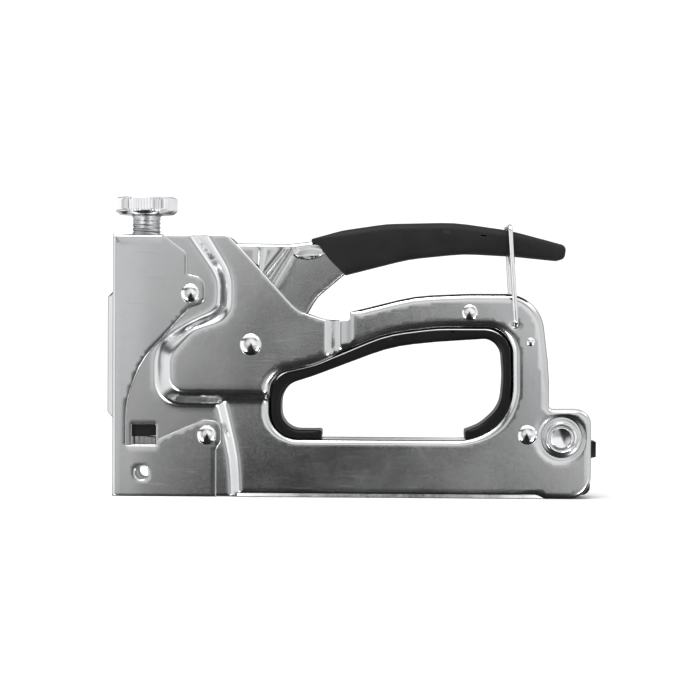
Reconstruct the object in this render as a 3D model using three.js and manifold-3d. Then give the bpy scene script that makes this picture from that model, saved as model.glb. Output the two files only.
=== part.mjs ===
// Hand staple gun with a pressed-steel body, a lever with a rubber sleeve and a knurled power screw.
// Millimetres. +X points to the rear, the nose is towards -X, +Z is up, and Y = 0 is the plane
// where the two body halves meet. The base of the magazine rests on Z = 0.
import * as THREE from 'three';
import { mergeVertices } from 'three/addons/utils/BufferGeometryUtils.js';
import Module from 'manifold-3d';

const wasm = await Module();
wasm.setup();

// ---------------------------------------------------------------- driving dimensions
const SHEET = 1.0;                 // thickness of the pressed sheet
const GAP = 0.3;                   // clearance between neighbouring pieces
const NOSE_FRONT = -86.4;          // outer face of the front cover
const REAR = 85.6;                 // rear face of the body
const BAR_BOTTOM = 1.4;            // lower edge of the body along the magazine
const NOSE_HALF = 6.9;             // half widths of the three pressed levels
const BODY_HALF = 9.2;
const MAIN_HALF = 12.0;
const COVER_HALF = 8.2;
const BODY_TOP = 93.9;             // upper edge of the two body halves
const COVER_TOP = 94.2;
const SCREW_X = -75.0;             // axis of the power screw, hammer and main spring
const SCREW_R = 5.2;
const KNOB_R = 11.2;
const KNOB_TOP = 107.6;
const KNOB_BOTTOM = 101.2;
const PIVOT = [-36.4, 54.8];       // lever pivot, X and Z
const LEVER_HALF = 8.4;
const GRIP_HALF = 11.0;
const ROD_Z = 17.0;                // axis of the pusher rod and its spring
const CHANNEL_HALF = 6.9;
const CHANNEL_TOP = 14.6;
const RAIL_HALF = 4.6;
const RAIL_TOP = 13.2;
const BAIL_PIVOT = [58.1, 62.4];
const BAIL_LENGTH = 34.9;
const BAIL_LEAN = 2.4;              // how far its crossbar stands ahead of its pivot
const BAIL_HALF = 12.3;
const WIRE_R = 0.95;
const ROUND = 20;                  // facets on a full turn of a small round piece

// ---------------------------------------------------------------- finishes
const finish = (color, roughness, metalness) =>
  new THREE.MeshStandardMaterial({ color, roughness, metalness });
const NICKEL = finish(0xb9bbbd, 0.32, 1.0);
const CHROME = finish(0xd8d9da, 0.12, 1.0);
const ZINC = finish(0x9a9c9e, 0.4, 1.0);
const HARD_STEEL = finish(0x55585b, 0.35, 1.0);
const SPRING_STEEL = finish(0x77797c, 0.3, 1.0);
const RUBBER = finish(0x1b1b1c, 0.85, 0.0);
const BLACK_PLASTIC = finish(0x0e0e0f, 0.45, 0.0);

// ---------------------------------------------------------------- outlines
// Points of a closed outline whose corners [x, z, radius] are rounded with arcs. A radius too
// large for its two edges is cut down to what they leave room for.
function rounded(corners, stepDeg = 22) {
  const points = [];
  corners.forEach(([x, z, wanted = 0], i) => {
    const here = new THREE.Vector2(x, z);
    if (!wanted) return points.push(here);
    const back = new THREE.Vector2(...corners.at(i - 1)).sub(here);
    const ahead = new THREE.Vector2(...corners[(i + 1) % corners.length]).sub(here);
    const room = 0.49 * Math.min(back.length(), ahead.length());
    back.normalize();
    ahead.normalize();
    const half = Math.acos(back.dot(ahead)) / 2;
    const radius = Math.min(wanted, room * Math.tan(half));
    const centre = back.clone().add(ahead).normalize()
      .multiplyScalar(radius / Math.sin(half)).add(here);
    const from = back.multiplyScalar(radius / Math.tan(half)).add(here).sub(centre);
    const turn = Math.sign(from.cross(here.clone().sub(centre))) * (Math.PI - 2 * half);
    const steps = Math.max(1, Math.round(Math.abs(turn) / THREE.MathUtils.degToRad(stepDeg)));
    for (let k = 0; k <= steps; k++) {
      points.push(from.clone().rotateAround(new THREE.Vector2(), (turn * k) / steps).add(centre));
    }
  });
  return points;
}

// The same outline moved inwards by a distance; a negative distance moves it outwards.
function inset(points, distance) {
  const sense = THREE.ShapeUtils.isClockWise(points) ? -1 : 1;
  return points.map((here, i) => {
    const a = here.clone().sub(points.at(i - 1)).normalize();
    const b = points[(i + 1) % points.length].clone().sub(here).normalize();
    const normal = new THREE.Vector2(-a.y - b.y, a.x + b.x).normalize().multiplyScalar(sense);
    const side = new THREE.Vector2(-a.y, a.x).multiplyScalar(sense);
    return normal.multiplyScalar(distance / Math.max(0.4, normal.dot(side))).add(here);
  });
}

// ---------------------------------------------------------------- solids
// Manifold solid of a closed three.js geometry.
function solid(geometry) {
  const bare = geometry.clone();
  bare.deleteAttribute('normal');
  bare.deleteAttribute('uv');
  const merged = mergeVertices(bare, 1e-3);
  return new wasm.Manifold(new wasm.Mesh({
    numProp: 3,
    vertProperties: new Float32Array(merged.attributes.position.array),
    triVerts: new Uint32Array(merged.index.array),
  }));
}

// Outline in the XZ plane, extruded between two Y values, its edges chamfered by [width, depth].
function plate(points, yLow, yHigh, chamfer = null) {
  const [width, depth] = chamfer ?? [0, 0];
  const geometry = new THREE.ExtrudeGeometry(new THREE.Shape(points), {
    depth: yHigh - yLow - 2 * depth, steps: 1, bevelEnabled: Boolean(chamfer),
    bevelThickness: depth, bevelSize: width, bevelOffset: -width, bevelSegments: 1,
  });
  return solid(geometry.rotateX(Math.PI / 2).translate(0, yHigh - depth, 0));
}

const box = (x0, x1, y0, y1, z0, z1) => solid(
  new THREE.BoxGeometry(x1 - x0, y1 - y0, z1 - z0)
    .translate((x0 + x1) / 2, (y0 + y1) / 2, (z0 + z1) / 2));

// Turned piece about an axis parallel to Y through [x, z]; the profile is [radius, y].
function turnedY(profile, [x, z], facets = ROUND) {
  const points = profile.map(([r, y]) => new THREE.Vector2(r, y));
  return solid(new THREE.LatheGeometry(points, facets).translate(x, 0, z));
}

// Turned piece about a vertical axis; the profile is [radius, z].
function turnedZ(profile, x, facets = ROUND) {
  const points = profile.map(([r, z]) => new THREE.Vector2(r, z));
  return solid(new THREE.LatheGeometry(points, facets).rotateX(Math.PI / 2).translate(x, 0, 0));
}

// Turned piece about an axis parallel to X at height z; the profile is [radius, x].
function turnedX(profile, z, facets = ROUND) {
  const points = profile.map(([r, x]) => new THREE.Vector2(r, x));
  return solid(new THREE.LatheGeometry(points, facets).rotateZ(-Math.PI / 2).translate(0, 0, z));
}

const pinY = (radius, yLow, yHigh, centre, facets = ROUND) =>
  turnedY([[0, yLow], [radius, yLow], [radius, yHigh], [0, yHigh]], centre, facets);
const ringY = (inner, outer, yLow, yHigh, centre, facets = ROUND) =>
  turnedY([[inner, yLow], [outer, yLow], [outer, yHigh], [inner, yHigh], [inner, yLow]],
    centre, facets);

const group = new THREE.Group();

function add(name, piece, material) {
  const mesh = piece.getMesh();
  const geometry = new THREE.BufferGeometry();
  geometry.setAttribute('position', new THREE.BufferAttribute(mesh.vertProperties, 3));
  geometry.setIndex(new THREE.BufferAttribute(mesh.triVerts, 1));
  geometry.computeVertexNormals();
  const node = new THREE.Mesh(geometry, material);
  node.name = name;
  group.add(node);
}

// ---------------------------------------------------------------- outlines of the body
// Silhouette of the whole body, from the nose over the handle bar to the rear lug.
const BODY_OUTLINE = rounded([
  [NOSE_FRONT + SHEET + GAP, 0.3], [-42.0, 0.3], [-42.0, BAR_BOTTOM], [66.0, BAR_BOTTOM, 4],
  [69.0, 0.0, 4], [REAR, 0.0, 10.5], [REAR, 32.3, 5.5], [70.4, 32.3], [70.4, 45.0, 60],
  [67.0, 73.6, 14], [41.0, 73.5, 60], [22.0, 72.6, 60], [-1.1, 66.6],
  [-1.1, 63.7], [-10.0, 63.6, 12], [-20.0, 67.0, 12], [-40.0, 89.0, 3], [-45.0, BODY_TOP, 3],
  [-57.0, BODY_TOP], [NOSE_FRONT + SHEET + GAP, BODY_TOP],
]);
// Opening for the fingers.
const HAND_OPENING = rounded([
  [-29.4, 21.0, 10], [-29.4, 43.6, 7.5], [-14.0, 47.2, 30], [12.0, 58.3, 50], [30.0, 60.6, 60],
  [56.5, 60.7, 9], [57.1, 21.0, 19],
]);
// Foot of the slope round the raised main panel.
const MAIN_OUTLINE = rounded([
  [-60.5, 97.0], [-48.0, 78.6, 10], [-48.0, 67.9, 7], [-70.6, 54.2, 8], [-70.6, 33.3, 9],
  [-18.0, 33.3], [-3.4, 46.0], [-3.4, 72.0], [-20.0, 97.0],
]);
const SLOPE = 4.2;                 // width of the pressed slope between two levels

// Magazine, handle and rear level: everything behind the step at the nose.
const BODY_LEVEL = rounded([
  [-42.6, -8.0], [-43.6, 14.0, 60], [-49.5, 37.0], [-30.0, 60.0], [-12.0, 80.0], [120.0, 80.0],
  [120.0, -8.0],
]);
const STEP = [2.3, BODY_HALF - NOSE_HALF];   // width and depth of that step
const GROOVE = { from: -9.0, to: -1.1, half: 7.4 };   // groove between main panel and handle bar

// ---------------------------------------------------------------- body shells
function levels(trim) {
  const nose = box(-100, -36, -NOSE_HALF + trim, NOSE_HALF - trim, -2, 100);
  const groove = box(GROOVE.from, GROOVE.to, -20, 20, 44, 70);
  const grooveFloor = box(-20, 0, -GROOVE.half + trim, GROOVE.half - trim, 44, 70);
  const body = plate(BODY_LEVEL, -BODY_HALF + trim, BODY_HALF - trim, STEP);
  const main = plate(inset(MAIN_OUTLINE, 0.45 * trim), -MAIN_HALF + trim, MAIN_HALF - trim,
    [SLOPE, MAIN_HALF - NOSE_HALF]);
  return nose.add(body.subtract(groove)).add(grooveFloor).add(main);
}

const RIVETS = {
  front_top_rivet: { at: [-58.3, 72.9], head: 3.5, rise: 1.5, seat: COVER_HALF },
  handle_rivet: { at: [41.8, 66.6], head: 2.9, rise: 0.9, seat: BODY_HALF },
  rear_rivet: { at: [62.6, 23.0], head: 3.5, rise: 1.4, seat: BODY_HALF },
  corner_rivet: { at: [63.6, 56.2], head: 1.5, rise: 0.6, seat: BODY_HALF },
  lever_pivot_rivet: { at: PIVOT, head: 3.9, rise: 1.6, seat: MAIN_HALF },
};
const LOWER_RIVET = { at: [-52.3, 22.2], head: 3.5, rise: 1.5, seat: COVER_HALF };
const STUD = { at: [74.7, 22.0], head: 5.7, rise: 1.7, seat: BODY_HALF };
const shankOf = (rivet) => 0.5 * rivet.head;
const WINDOW = [-79.4, -70.6, 18.6, 25.9];    // X and Z limits of the opening over the hammer stop
const NOSE_HOLE = { at: [-75.6, 8.4], radius: 2.7 };

const outer = plate(BODY_OUTLINE, -13, 13).intersect(levels(0));
const wallInside = plate(inset(BODY_OUTLINE, SHEET), -13, 13)
  .subtract(plate(inset(HAND_OPENING, -SHEET), -14, 14));
let shells = outer.subtract(wallInside.intersect(levels(SHEET)))
  .subtract(plate(HAND_OPENING, -14, 14))
  .subtract(box(-100, -80, -NOSE_HALF + SHEET, NOSE_HALF - SHEET, -5, 100))   // open nose front
  .subtract(box(-100, -69.0, -9, 9, 87.6, 100))                               // seat of the nut
  .subtract(box(-100, -66.8, -9, 9, COVER_TOP - SHEET - GAP, 100))            // under the cover
  .subtract(box(-100, -41.8, -NOSE_HALF + SHEET, NOSE_HALF - SHEET, -5, 3))    // staple way out
  .subtract(box(-43.0, 100, -7.3, 7.3, -5, 3))                                // magazine slot
  .subtract(box(70, 100, -7.3, 7.3, -5, 21.3))                                // rear way out
  .subtract(plate(rounded([[-46.5, 100], [-46.5, 84], [-24, 60], [-13.5, 60], [-13.5, 66],
    [-20, 100]]), -9.2, 9.2))                                                 // lever slot
  .subtract(box(WINDOW[0], WINDOW[1], -20, 20, WINDOW[2], WINDOW[3]))
  .subtract(pinY(NOSE_HOLE.radius, -20, 20, NOSE_HOLE.at))
  .subtract(pinY(1.5, -20, 20, BAIL_PIVOT, 16));
for (const rivet of [...Object.values(RIVETS), LOWER_RIVET, STUD]) {
  shells = shells.subtract(pinY(shankOf(rivet) + GAP, -20, 20, rivet.at));
}
add('left_body_shell', shells.subtract(box(-200, 200, -0.15, 20, -10, 200)), NICKEL);
add('right_body_shell', shells.subtract(box(-200, 200, -20, 0.15, -10, 200)), NICKEL);

// ---------------------------------------------------------------- front cover
const COVER_OUTLINE = rounded([
  [NOSE_FRONT, 0.1], [-48.8, 0.1], [-48.8, 17.0, 2], [-47.0, 20.0, 1.5], [-47.0, 27.0, 5],
  [-53.5, 27.8, 4], [-70.2, 20.4], [-70.2, 18.2], [-81.2, 18.2], [-81.2, 34.0, 30],
  [-76.0, 48.5, 30], [-58.5, 67.8, 4], [-52.9, 69.6, 4], [-52.9, 78.3, 5], [-59.6, 79.9, 1.2],
  [-59.6, 87.4, 2], [-68.6, COVER_TOP], [NOSE_FRONT, COVER_TOP],
]);
const RIB_FRONT = -88.8;
const RIB = rounded([
  [NOSE_FRONT + 0.5, 26.4], [RIB_FRONT, 28.2], [RIB_FRONT, 73.2], [NOSE_FRONT + 0.5, 75.0],
]);
const coverInside = box(NOSE_FRONT + SHEET, 0, -COVER_HALF + SHEET, COVER_HALF - SHEET,
  -5, COVER_TOP - SHEET);
const cover = plate(COVER_OUTLINE, -COVER_HALF, COVER_HALF)
  .subtract(coverInside)
  .add(plate(RIB, -3.6, 3.6))
  .subtract(plate(inset(RIB, SHEET).map((p) => p.x > -87.4 ? p.setX(-84.9) : p), -2.6, 2.6))
  .subtract(pinY(NOSE_HOLE.radius, -20, 20, NOSE_HOLE.at))
  .subtract(pinY(shankOf(LOWER_RIVET) + GAP, -20, 20, LOWER_RIVET.at))
  .subtract(pinY(shankOf(RIVETS.front_top_rivet) + GAP, -20, 20, RIVETS.front_top_rivet.at))
  .subtract(turnedZ([[0, 80], [SCREW_R + 0.5, 80], [SCREW_R + 0.5, 100], [0, 100]], SCREW_X));
add('front_cover', cover, NICKEL);

// ---------------------------------------------------------------- rivets
// Shank with a domed head at each end.
function rivetProfile({ head, rise, seat }) {
  const under = seat + 0.08;
  const dome = [0, 0.35, 0.65, 0.88].map((t) => [head * Math.cos(t * Math.PI / 2),
    under + rise * (0.25 + 0.75 * Math.sin(t * Math.PI / 2))]);
  const side = [[0.5 * head, under], [head, under], ...dome, [0, under + rise]];
  const mirrored = side.map(([r, y]) => [r, -y]).reverse();
  return [...mirrored, ...side];
}
for (const [name, rivet] of Object.entries(RIVETS)) {
  add(name, turnedY(rivetProfile(rivet), rivet.at), CHROME);
}
// Short rivets and studs hold one wall only, so that the pusher spring passes between them.
function halfRivet(rivet, side, tailAt) {
  const kept = side < 0 ? box(-200, 200, -20, -tailAt, -10, 200) : box(-200, 200, tailAt, 20, -10, 200);
  const tail = ringY(0.9, 0.5 * rivet.head + 0.8, tailAt, tailAt + 0.9, rivet.at);
  const placedTail = side < 0 ? tail.mirror([0, 1, 0]) : tail;
  return turnedY(rivetProfile(rivet), rivet.at).intersect(kept).add(placedTail);
}
for (const [word, side] of [['left', -1], ['right', 1]]) {
  add(`front_lower_rivet_${word}`, halfRivet(LOWER_RIVET, side, 4.4), CHROME);
  const bore = turnedY([[0, 6], [3.4, 10.2], [3.4, 12], [0, 12]], STUD.at);
  const dish = side < 0 ? bore.mirror([0, 1, 0]) : bore;
  add(`rear_stud_${word}`, halfRivet(STUD, side, 5.4).subtract(dish), CHROME);
}

// ---------------------------------------------------------------- power screw
add('power_knob', turnedZ([[0, 88.2], [SCREW_R - 0.6, 88.2], [SCREW_R, 88.8],
  [SCREW_R, KNOB_BOTTOM], [KNOB_R - 1.4, KNOB_BOTTOM], [KNOB_R, KNOB_BOTTOM + 1.4],
  [KNOB_R, KNOB_TOP - 0.4], [KNOB_R - 0.4, KNOB_TOP], [0, KNOB_TOP]], SCREW_X, 40), CHROME);
add('screw_nut', box(-81.2, -69.3, -6.8, 6.8, 88.0, COVER_TOP - SHEET - GAP)
  .subtract(turnedZ([[0, 80], [SCREW_R + 0.35, 80], [SCREW_R + 0.35, 100], [0, 100]], SCREW_X)),
ZINC);
add('spring_cap', turnedZ([[0, 76.0], [3.0, 76.0], [3.4, 76.6], [3.4, 84.6], [5.6, 84.6],
  [5.6, 87.6], [0, 87.6]], SCREW_X), ZINC);
add('main_spring', turnedZ([[3.8, 52.4], [5.5, 52.4], [5.5, 81.2], [3.8, 81.2], [3.8, 52.4]],
  SCREW_X), SPRING_STEEL);

// ---------------------------------------------------------------- hammer and blade
// The hammer's slot is deep enough for the claw's tip, which swings forwards as it lifts.
const CLAW_SLOT = [-75.4, 0, -3.5, 3.5, 40.6, 47.1];
add('hammer', box(-83.5, -66.6, -5.4, 5.4, 37.4, 52.0).subtract(box(...CLAW_SLOT)), HARD_STEEL);
add('drive_blade', box(-84.7, -83.85, -5.2, 5.2, 10.8, 50.0), HARD_STEEL);
add('hammer_stop', box(-83.4, -71.0, -5.6, 5.6, 14.7, 21.4), HARD_STEEL);
add('hammer_buffer', box(-83.0, -70.0, -5.6, 5.6, 21.7, 26.4), RUBBER);

// ---------------------------------------------------------------- lever
const GRIP_OUTLINE = rounded([
  [-16.4, 92.2, 0.7], [-4.0, 95.8, 30], [12.0, 98.2, 50], [36.0, 99.0, 60], [56.0, 96.1, 60],
  [76.2, 90.7, 2.5], [75.4, 85.2, 2.5], [58.0, 86.9, 60], [40.0, 87.8, 60], [20.0, 85.7, 60],
  [-3.0, 79.6, 0.8], [-8.6, 85.4, 6], [-12.4, 90.4, 3],
]);
const LEVER_OUTLINE = rounded([
  [-43.0, 91.0, 2], [-23.0, 90.8, 8], [-13.0, 92.0, 8], [-3.0, 93.6, 20], [12.0, 95.8, 50],
  [36.0, 96.6, 60], [56.0, 93.9, 60], [73.0, 89.4, 1], [72.6, 87.4, 1], [58.0, 89.0, 60],
  [40.0, 89.8, 60], [20.0, 87.8, 60], [1.4, 83.0], [-2.8, 80.6], [-13.4, 71.6, 14],
  [-20.5, 59.0, 12], [-30.0, 47.5, 6], [-36.4, 44.6, 8], [-44.0, 48.0, 8], [-43.6, 62.0, 8],
]);
// Hollow of the channel section: everything below its top web, between its side walls.
const LEVER_HOLLOW = rounded([
  [-60.0, 0.0], [-60.0, 89.8], [-23.0, 89.6], [-13.0, 90.8], [-3.0, 92.4], [12.0, 94.6, 50],
  [36.0, 95.4, 60], [56.0, 92.6, 60], [71.6, 88.4], [71.6, 0.0],
]);
add('lever', plate(LEVER_OUTLINE, -LEVER_HALF, LEVER_HALF)
  .subtract(plate(LEVER_HOLLOW, -LEVER_HALF + 1.2, LEVER_HALF - 1.2))
  .subtract(pinY(shankOf(RIVETS.lever_pivot_rivet) + 0.35, -20, 20, PIVOT)), NICKEL);
add('lever_grip', plate(GRIP_OUTLINE, -GRIP_HALF, GRIP_HALF, [0.5, 0.8])
  .subtract(plate(inset(LEVER_OUTLINE, -GAP), -LEVER_HALF - GAP, LEVER_HALF + GAP)), RUBBER);
// Lifting claw between the lever's walls; its tip stands in the hammer's slot.
add('lift_claw', plate(rounded([
  [-29.0, 54.8, 5], [-31.0, 62.0, 5], [-43.0, 61.0, 8], [-58.0, 49.0, 10], [-71.6, 45.6, 1],
  [-71.6, 41.6, 1], [-58.0, 41.6, 8], [-38.0, 46.6, 8]]), -3.0, 3.0)
  .subtract(pinY(shankOf(RIVETS.lever_pivot_rivet) + 0.35, -20, 20, PIVOT)), HARD_STEEL);
for (const [word, side] of [['left', -1], ['right', 1]]) {
  const low = side < 0 ? -6.9 : 3.3;
  add(`claw_spacer_${word}`, ringY(2.6, 4.4, low, low + 3.6, PIVOT), ZINC);
}

// ---------------------------------------------------------------- lock bail
class BailPath extends THREE.Curve {
  // Foot, leg, crossbar, leg and foot of the bent wire, with rounded corners.
  constructor() {
    super();
    const [x, z] = BAIL_PIVOT;
    const top = [x - BAIL_LEAN, z + BAIL_LENGTH];
    this.path = new THREE.CurvePath();
    const corner = 1.6;
    const at = (t, y) => new THREE.Vector3(x + (top[0] - x) * t, y, z + (top[1] - z) * t);
    const bend = corner / BAIL_LENGTH;
    const leg = (side) => [at(0, side * 7.6), at(0, side * (BAIL_HALF - corner)),
      at(0, side * BAIL_HALF), at(bend, side * BAIL_HALF), at(1 - bend, side * BAIL_HALF),
      at(1, side * BAIL_HALF), at(1, side * (BAIL_HALF - corner))];
    const [a, b] = [leg(-1), leg(1)];
    this.path.add(new THREE.LineCurve3(a[0], a[1]));
    this.path.add(new THREE.QuadraticBezierCurve3(a[1], a[2], a[3]));
    this.path.add(new THREE.LineCurve3(a[3], a[4]));
    this.path.add(new THREE.QuadraticBezierCurve3(a[4], a[5], a[6]));
    this.path.add(new THREE.LineCurve3(a[6], b[6]));
    this.path.add(new THREE.QuadraticBezierCurve3(b[6], b[5], b[4]));
    this.path.add(new THREE.LineCurve3(b[4], b[3]));
    this.path.add(new THREE.QuadraticBezierCurve3(b[3], b[2], b[1]));
    this.path.add(new THREE.LineCurve3(b[1], b[0]));
  }
  getPoint(t) { return this.path.getPoint(t); }
}
const wireSection = new THREE.Shape(Array.from({ length: 8 }, (_, k) =>
  new THREE.Vector2(WIRE_R * Math.cos(k * Math.PI / 4), WIRE_R * Math.sin(k * Math.PI / 4))));
add('lock_bail', solid(new THREE.ExtrudeGeometry(wireSection,
  { steps: 70, bevelEnabled: false, extrudePath: new BailPath() })), CHROME);

// ---------------------------------------------------------------- finger guard
const GUARD_INSIDE = rounded([
  [-25.7, 24.2, 7], [-25.7, 39.8, 10], [-14.0, 43.6, 40], [14.0, 54.3, 60], [30.0, 56.0, 60],
  [53.0, 57.6, 11], [54.0, 44.0, 30], [53.2, 33.0, 14], [46.0, 26.4, 14], [40.2, 24.2],
]);
add('finger_guard', plate(inset(HAND_OPENING, GAP), -8.2, 8.2)
  .subtract(plate(GUARD_INSIDE, -10, 10))
  .subtract(box(-11.0, 40.4, -10, 10, 10, 30)), BLACK_PLASTIC);

// ---------------------------------------------------------------- magazine
const MAGAZINE_REAR = 79.0;
const TAB_REAR = 87.5;             // rear face of the plug's finger tab
add('magazine_channel', box(-41.5, MAGAZINE_REAR, -CHANNEL_HALF, CHANNEL_HALF, 0, CHANNEL_TOP)
  .subtract(box(-100, 100, -CHANNEL_HALF + SHEET, CHANNEL_HALF - SHEET, SHEET, 20)), ZINC);
add('staple_rail', box(-82.2, MAGAZINE_REAR, -RAIL_HALF, RAIL_HALF, SHEET + GAP, RAIL_TOP)
  .subtract(box(-100, 100, -RAIL_HALF + SHEET, RAIL_HALF - SHEET, -5, RAIL_TOP - SHEET))
  .subtract(pinY(NOSE_HOLE.radius, -20, 20, NOSE_HOLE.at)), ZINC);
const ROD_FRONT = -70.6;
const ROD_R = 1.2;
add('pusher', box(-82.1, -69.2, -5.6, 5.6, 6.0, 14.3)
  .subtract(box(-100, 0, -RAIL_HALF - GAP, RAIL_HALF + GAP, 0, RAIL_TOP + GAP))
  .add(box(-70.2, -69.2, -3.4, 3.4, 14.0, 19.5))
  .subtract(turnedX([[0, -80], [ROD_R + GAP, -80], [ROD_R + GAP, -60], [0, -60]], ROD_Z, 12)),
ZINC);
add('pusher_rod', turnedX([[0, ROD_FRONT], [ROD_R, ROD_FRONT], [ROD_R, MAGAZINE_REAR],
  [0, MAGAZINE_REAR]], ROD_Z, 12), ZINC);
add('pusher_spring', turnedX([[1.7, -68.9], [2.6, -68.9], [2.6, 78.8], [1.7, 78.8], [1.7, -68.9]],
  ROD_Z, 12), SPRING_STEEL);
add('magazine_end_plug', plate(rounded([[MAGAZINE_REAR + GAP, 1.4], [REAR - 0.3, 1.4, 9.5],
  [REAR - 0.3, 20.9], [MAGAZINE_REAR + GAP, 20.9]]), -6.6, 6.6)
  .add(plate([[REAR - 1, 14.2], [TAB_REAR, 15.0], [TAB_REAR, 20.4], [REAR - 1, 20.9]]
    .map(([x, z]) => new THREE.Vector2(x, z)), -5.0, 5.0)), BLACK_PLASTIC);

export default group;
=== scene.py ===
# %% [markdown]
# # A hand staple gun in pressed, plated steel
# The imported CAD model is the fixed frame: it says where every piece is and what moves. This
# script gives each piece its looks. Lengths are written in millimetres and turned into metres by
# `MM`, because that is how a toolmaker reads them. +X is the rear, Z is up, and the side that the
# camera sees faces -Y.

# %% Load the frame
import bpy, bmesh, math
from functools import reduce
import numpy as np
from mathutils import Vector, Matrix
from mathutils.geometry import delaunay_2d_cdt
from mathutils.kdtree import KDTree


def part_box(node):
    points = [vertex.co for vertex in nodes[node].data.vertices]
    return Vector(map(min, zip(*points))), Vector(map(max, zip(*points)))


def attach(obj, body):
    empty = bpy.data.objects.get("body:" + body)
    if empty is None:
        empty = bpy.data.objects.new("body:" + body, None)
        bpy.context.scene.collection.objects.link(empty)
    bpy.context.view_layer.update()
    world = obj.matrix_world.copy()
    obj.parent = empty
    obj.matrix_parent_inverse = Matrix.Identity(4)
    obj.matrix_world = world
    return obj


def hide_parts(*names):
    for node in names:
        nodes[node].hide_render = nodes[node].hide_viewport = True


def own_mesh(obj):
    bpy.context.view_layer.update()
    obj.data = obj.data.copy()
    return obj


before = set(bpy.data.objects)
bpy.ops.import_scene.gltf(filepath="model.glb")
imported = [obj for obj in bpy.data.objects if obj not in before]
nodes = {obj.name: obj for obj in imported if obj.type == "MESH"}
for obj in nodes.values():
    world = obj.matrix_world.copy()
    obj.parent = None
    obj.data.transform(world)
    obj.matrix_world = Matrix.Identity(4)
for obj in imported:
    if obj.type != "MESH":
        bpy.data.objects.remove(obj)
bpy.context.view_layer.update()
scene = bpy.context.scene
MM = 0.001
print("CAD nodes:", len(nodes))

# %% [markdown]
# ## Outlines
# A pressed sheet is drawn as its outline: a few corners, each with the radius of its bend.
# `rounded` puts the arcs in, and `spread` adds points evenly, so that a bend stays smooth. The
# others say which way is inwards, how deep a place lies inside an outline, and how a slope with
# soft ends rises.

# %% Outline helpers
def rounded(corners, step_deg=7.0):
    """Points (N, 2) of a closed outline of corners (x, z, radius), in mm."""
    points = []
    for i, corner in enumerate(corners):
        here, wanted = np.array(corner[:2], float), (list(corner) + [0])[2]
        back = np.array(corners[i - 1][:2]) - here
        ahead = np.array(corners[(i + 1) % len(corners)][:2]) - here
        room = 0.49 * min(np.linalg.norm(back), np.linalg.norm(ahead))
        back, ahead = back / np.linalg.norm(back), ahead / np.linalg.norm(ahead)
        half = math.acos(np.clip(back @ ahead, -1, 1)) / 2
        if not wanted or half > 1.55:
            points.append(here)
            continue
        radius = min(wanted, room * math.tan(half))
        middle = (back + ahead) / np.linalg.norm(back + ahead)
        centre = here + middle * radius / math.sin(half)
        start = here + back * radius / math.tan(half) - centre
        end = here + ahead * radius / math.tan(half) - centre
        turn = math.atan2(start[0] * end[1] - start[1] * end[0], start @ end)
        for t in np.linspace(0, turn, max(2, int(abs(turn) / math.radians(step_deg)) + 2)):
            c, s = math.cos(t), math.sin(t)
            points.append(centre + (c * start[0] - s * start[1], s * start[0] + c * start[1]))
    return np.array(points)


def circle(centre, radius, count=40):
    """Points of a round outline."""
    turn = np.linspace(0, 2 * math.pi, count, endpoint=False)
    return np.stack([centre[0] + radius * np.cos(turn), centre[1] + radius * np.sin(turn)], axis=1)


def spread(points, spacing):
    """The same outline with extra points, none further apart than spacing."""
    result = []
    for a, b in zip(points, np.roll(points, -1, axis=0)):
        count = max(1, math.ceil(np.linalg.norm(b - a) / spacing))
        result += [a + (b - a) * k / count for k in range(count)]
    result = np.array(result)
    return result[np.linalg.norm(result - np.roll(result, 1, axis=0), axis=1) > 0.02]


def inward(points):
    """Normals of an outline that point to its inside, lengthened at its corners."""
    ahead = np.roll(points, -1, axis=0) - points
    back = points - np.roll(points, 1, axis=0)
    ahead /= np.linalg.norm(ahead, axis=1)[:, None]
    back /= np.linalg.norm(back, axis=1)[:, None]
    tangent = ahead + back
    normal = np.stack([-tangent[:, 1], tangent[:, 0]], axis=1)
    normal /= np.linalg.norm(normal, axis=1)[:, None]
    mitre = np.clip(normal[:, 1] * ahead[:, 0] - normal[:, 0] * ahead[:, 1], 0.6, 1)
    x, z = points.T
    area = 0.5 * np.sum(x * np.roll(z, -1) - np.roll(x, -1) * z)
    return normal * np.sign(area) / mitre[:, None]


def depth_inside(places, outline):
    """How deep each place lies inside an outline, in mm; negative outside."""
    a, b = outline, np.roll(outline, -1, axis=0)
    edge = b - a
    length2 = np.maximum((edge ** 2).sum(1), 1e-12)
    rise = np.where(np.abs(edge[:, 1]) < 1e-12, 1e-12, edge[:, 1])
    result = np.empty(len(places))
    for start in range(0, len(places), 4000):
        p = places[start:start + 4000]
        rel = p[:, None, :] - a[None]
        t = np.clip((rel * edge).sum(2) / length2, 0, 1)
        near = np.sqrt(((rel - t[..., None] * edge) ** 2).sum(2).min(1))
        x, z = p[:, 0:1], p[:, 1:2]
        crosses = (a[:, 1] > z) != (b[:, 1] > z)
        inside = (crosses & (x < a[:, 0] + (z - a[:, 1]) / rise * edge[:, 0])).sum(1) % 2 == 1
        result[start:start + 4000] = np.where(inside, near, -near)
    return result


def ramp(t, blend=0.22):
    """0 to 1 along a straight slope whose two ends are rounded over blend."""
    t = np.clip(t, 0, 1)
    k = 1 / (2 * blend * (1 - blend))
    middle = (t - blend / 2) / (1 - blend)
    return np.where(t < blend, k * t ** 2, np.where(t > 1 - blend, 1 - k * (1 - t) ** 2, middle))


# %% [markdown]
# ## A pressed panel
# A press leaves a sheet flat in places and raised in others, and rolls its rim over. One function
# makes any such sheet. It fills an outline with triangles, lifts each point to the height that a
# rule gives, adds a rolled rim of a chosen radius, and closes the sheet with a second skin inside
# it. Extra points along the edges of a raised area keep its highlights clean.

# %% Panel builder
RIM_MARGIN = 0.3         # no extra point lies nearer than this to a rim
LEAST_BEND = 0.06        # the inner skin's smallest bend


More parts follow.
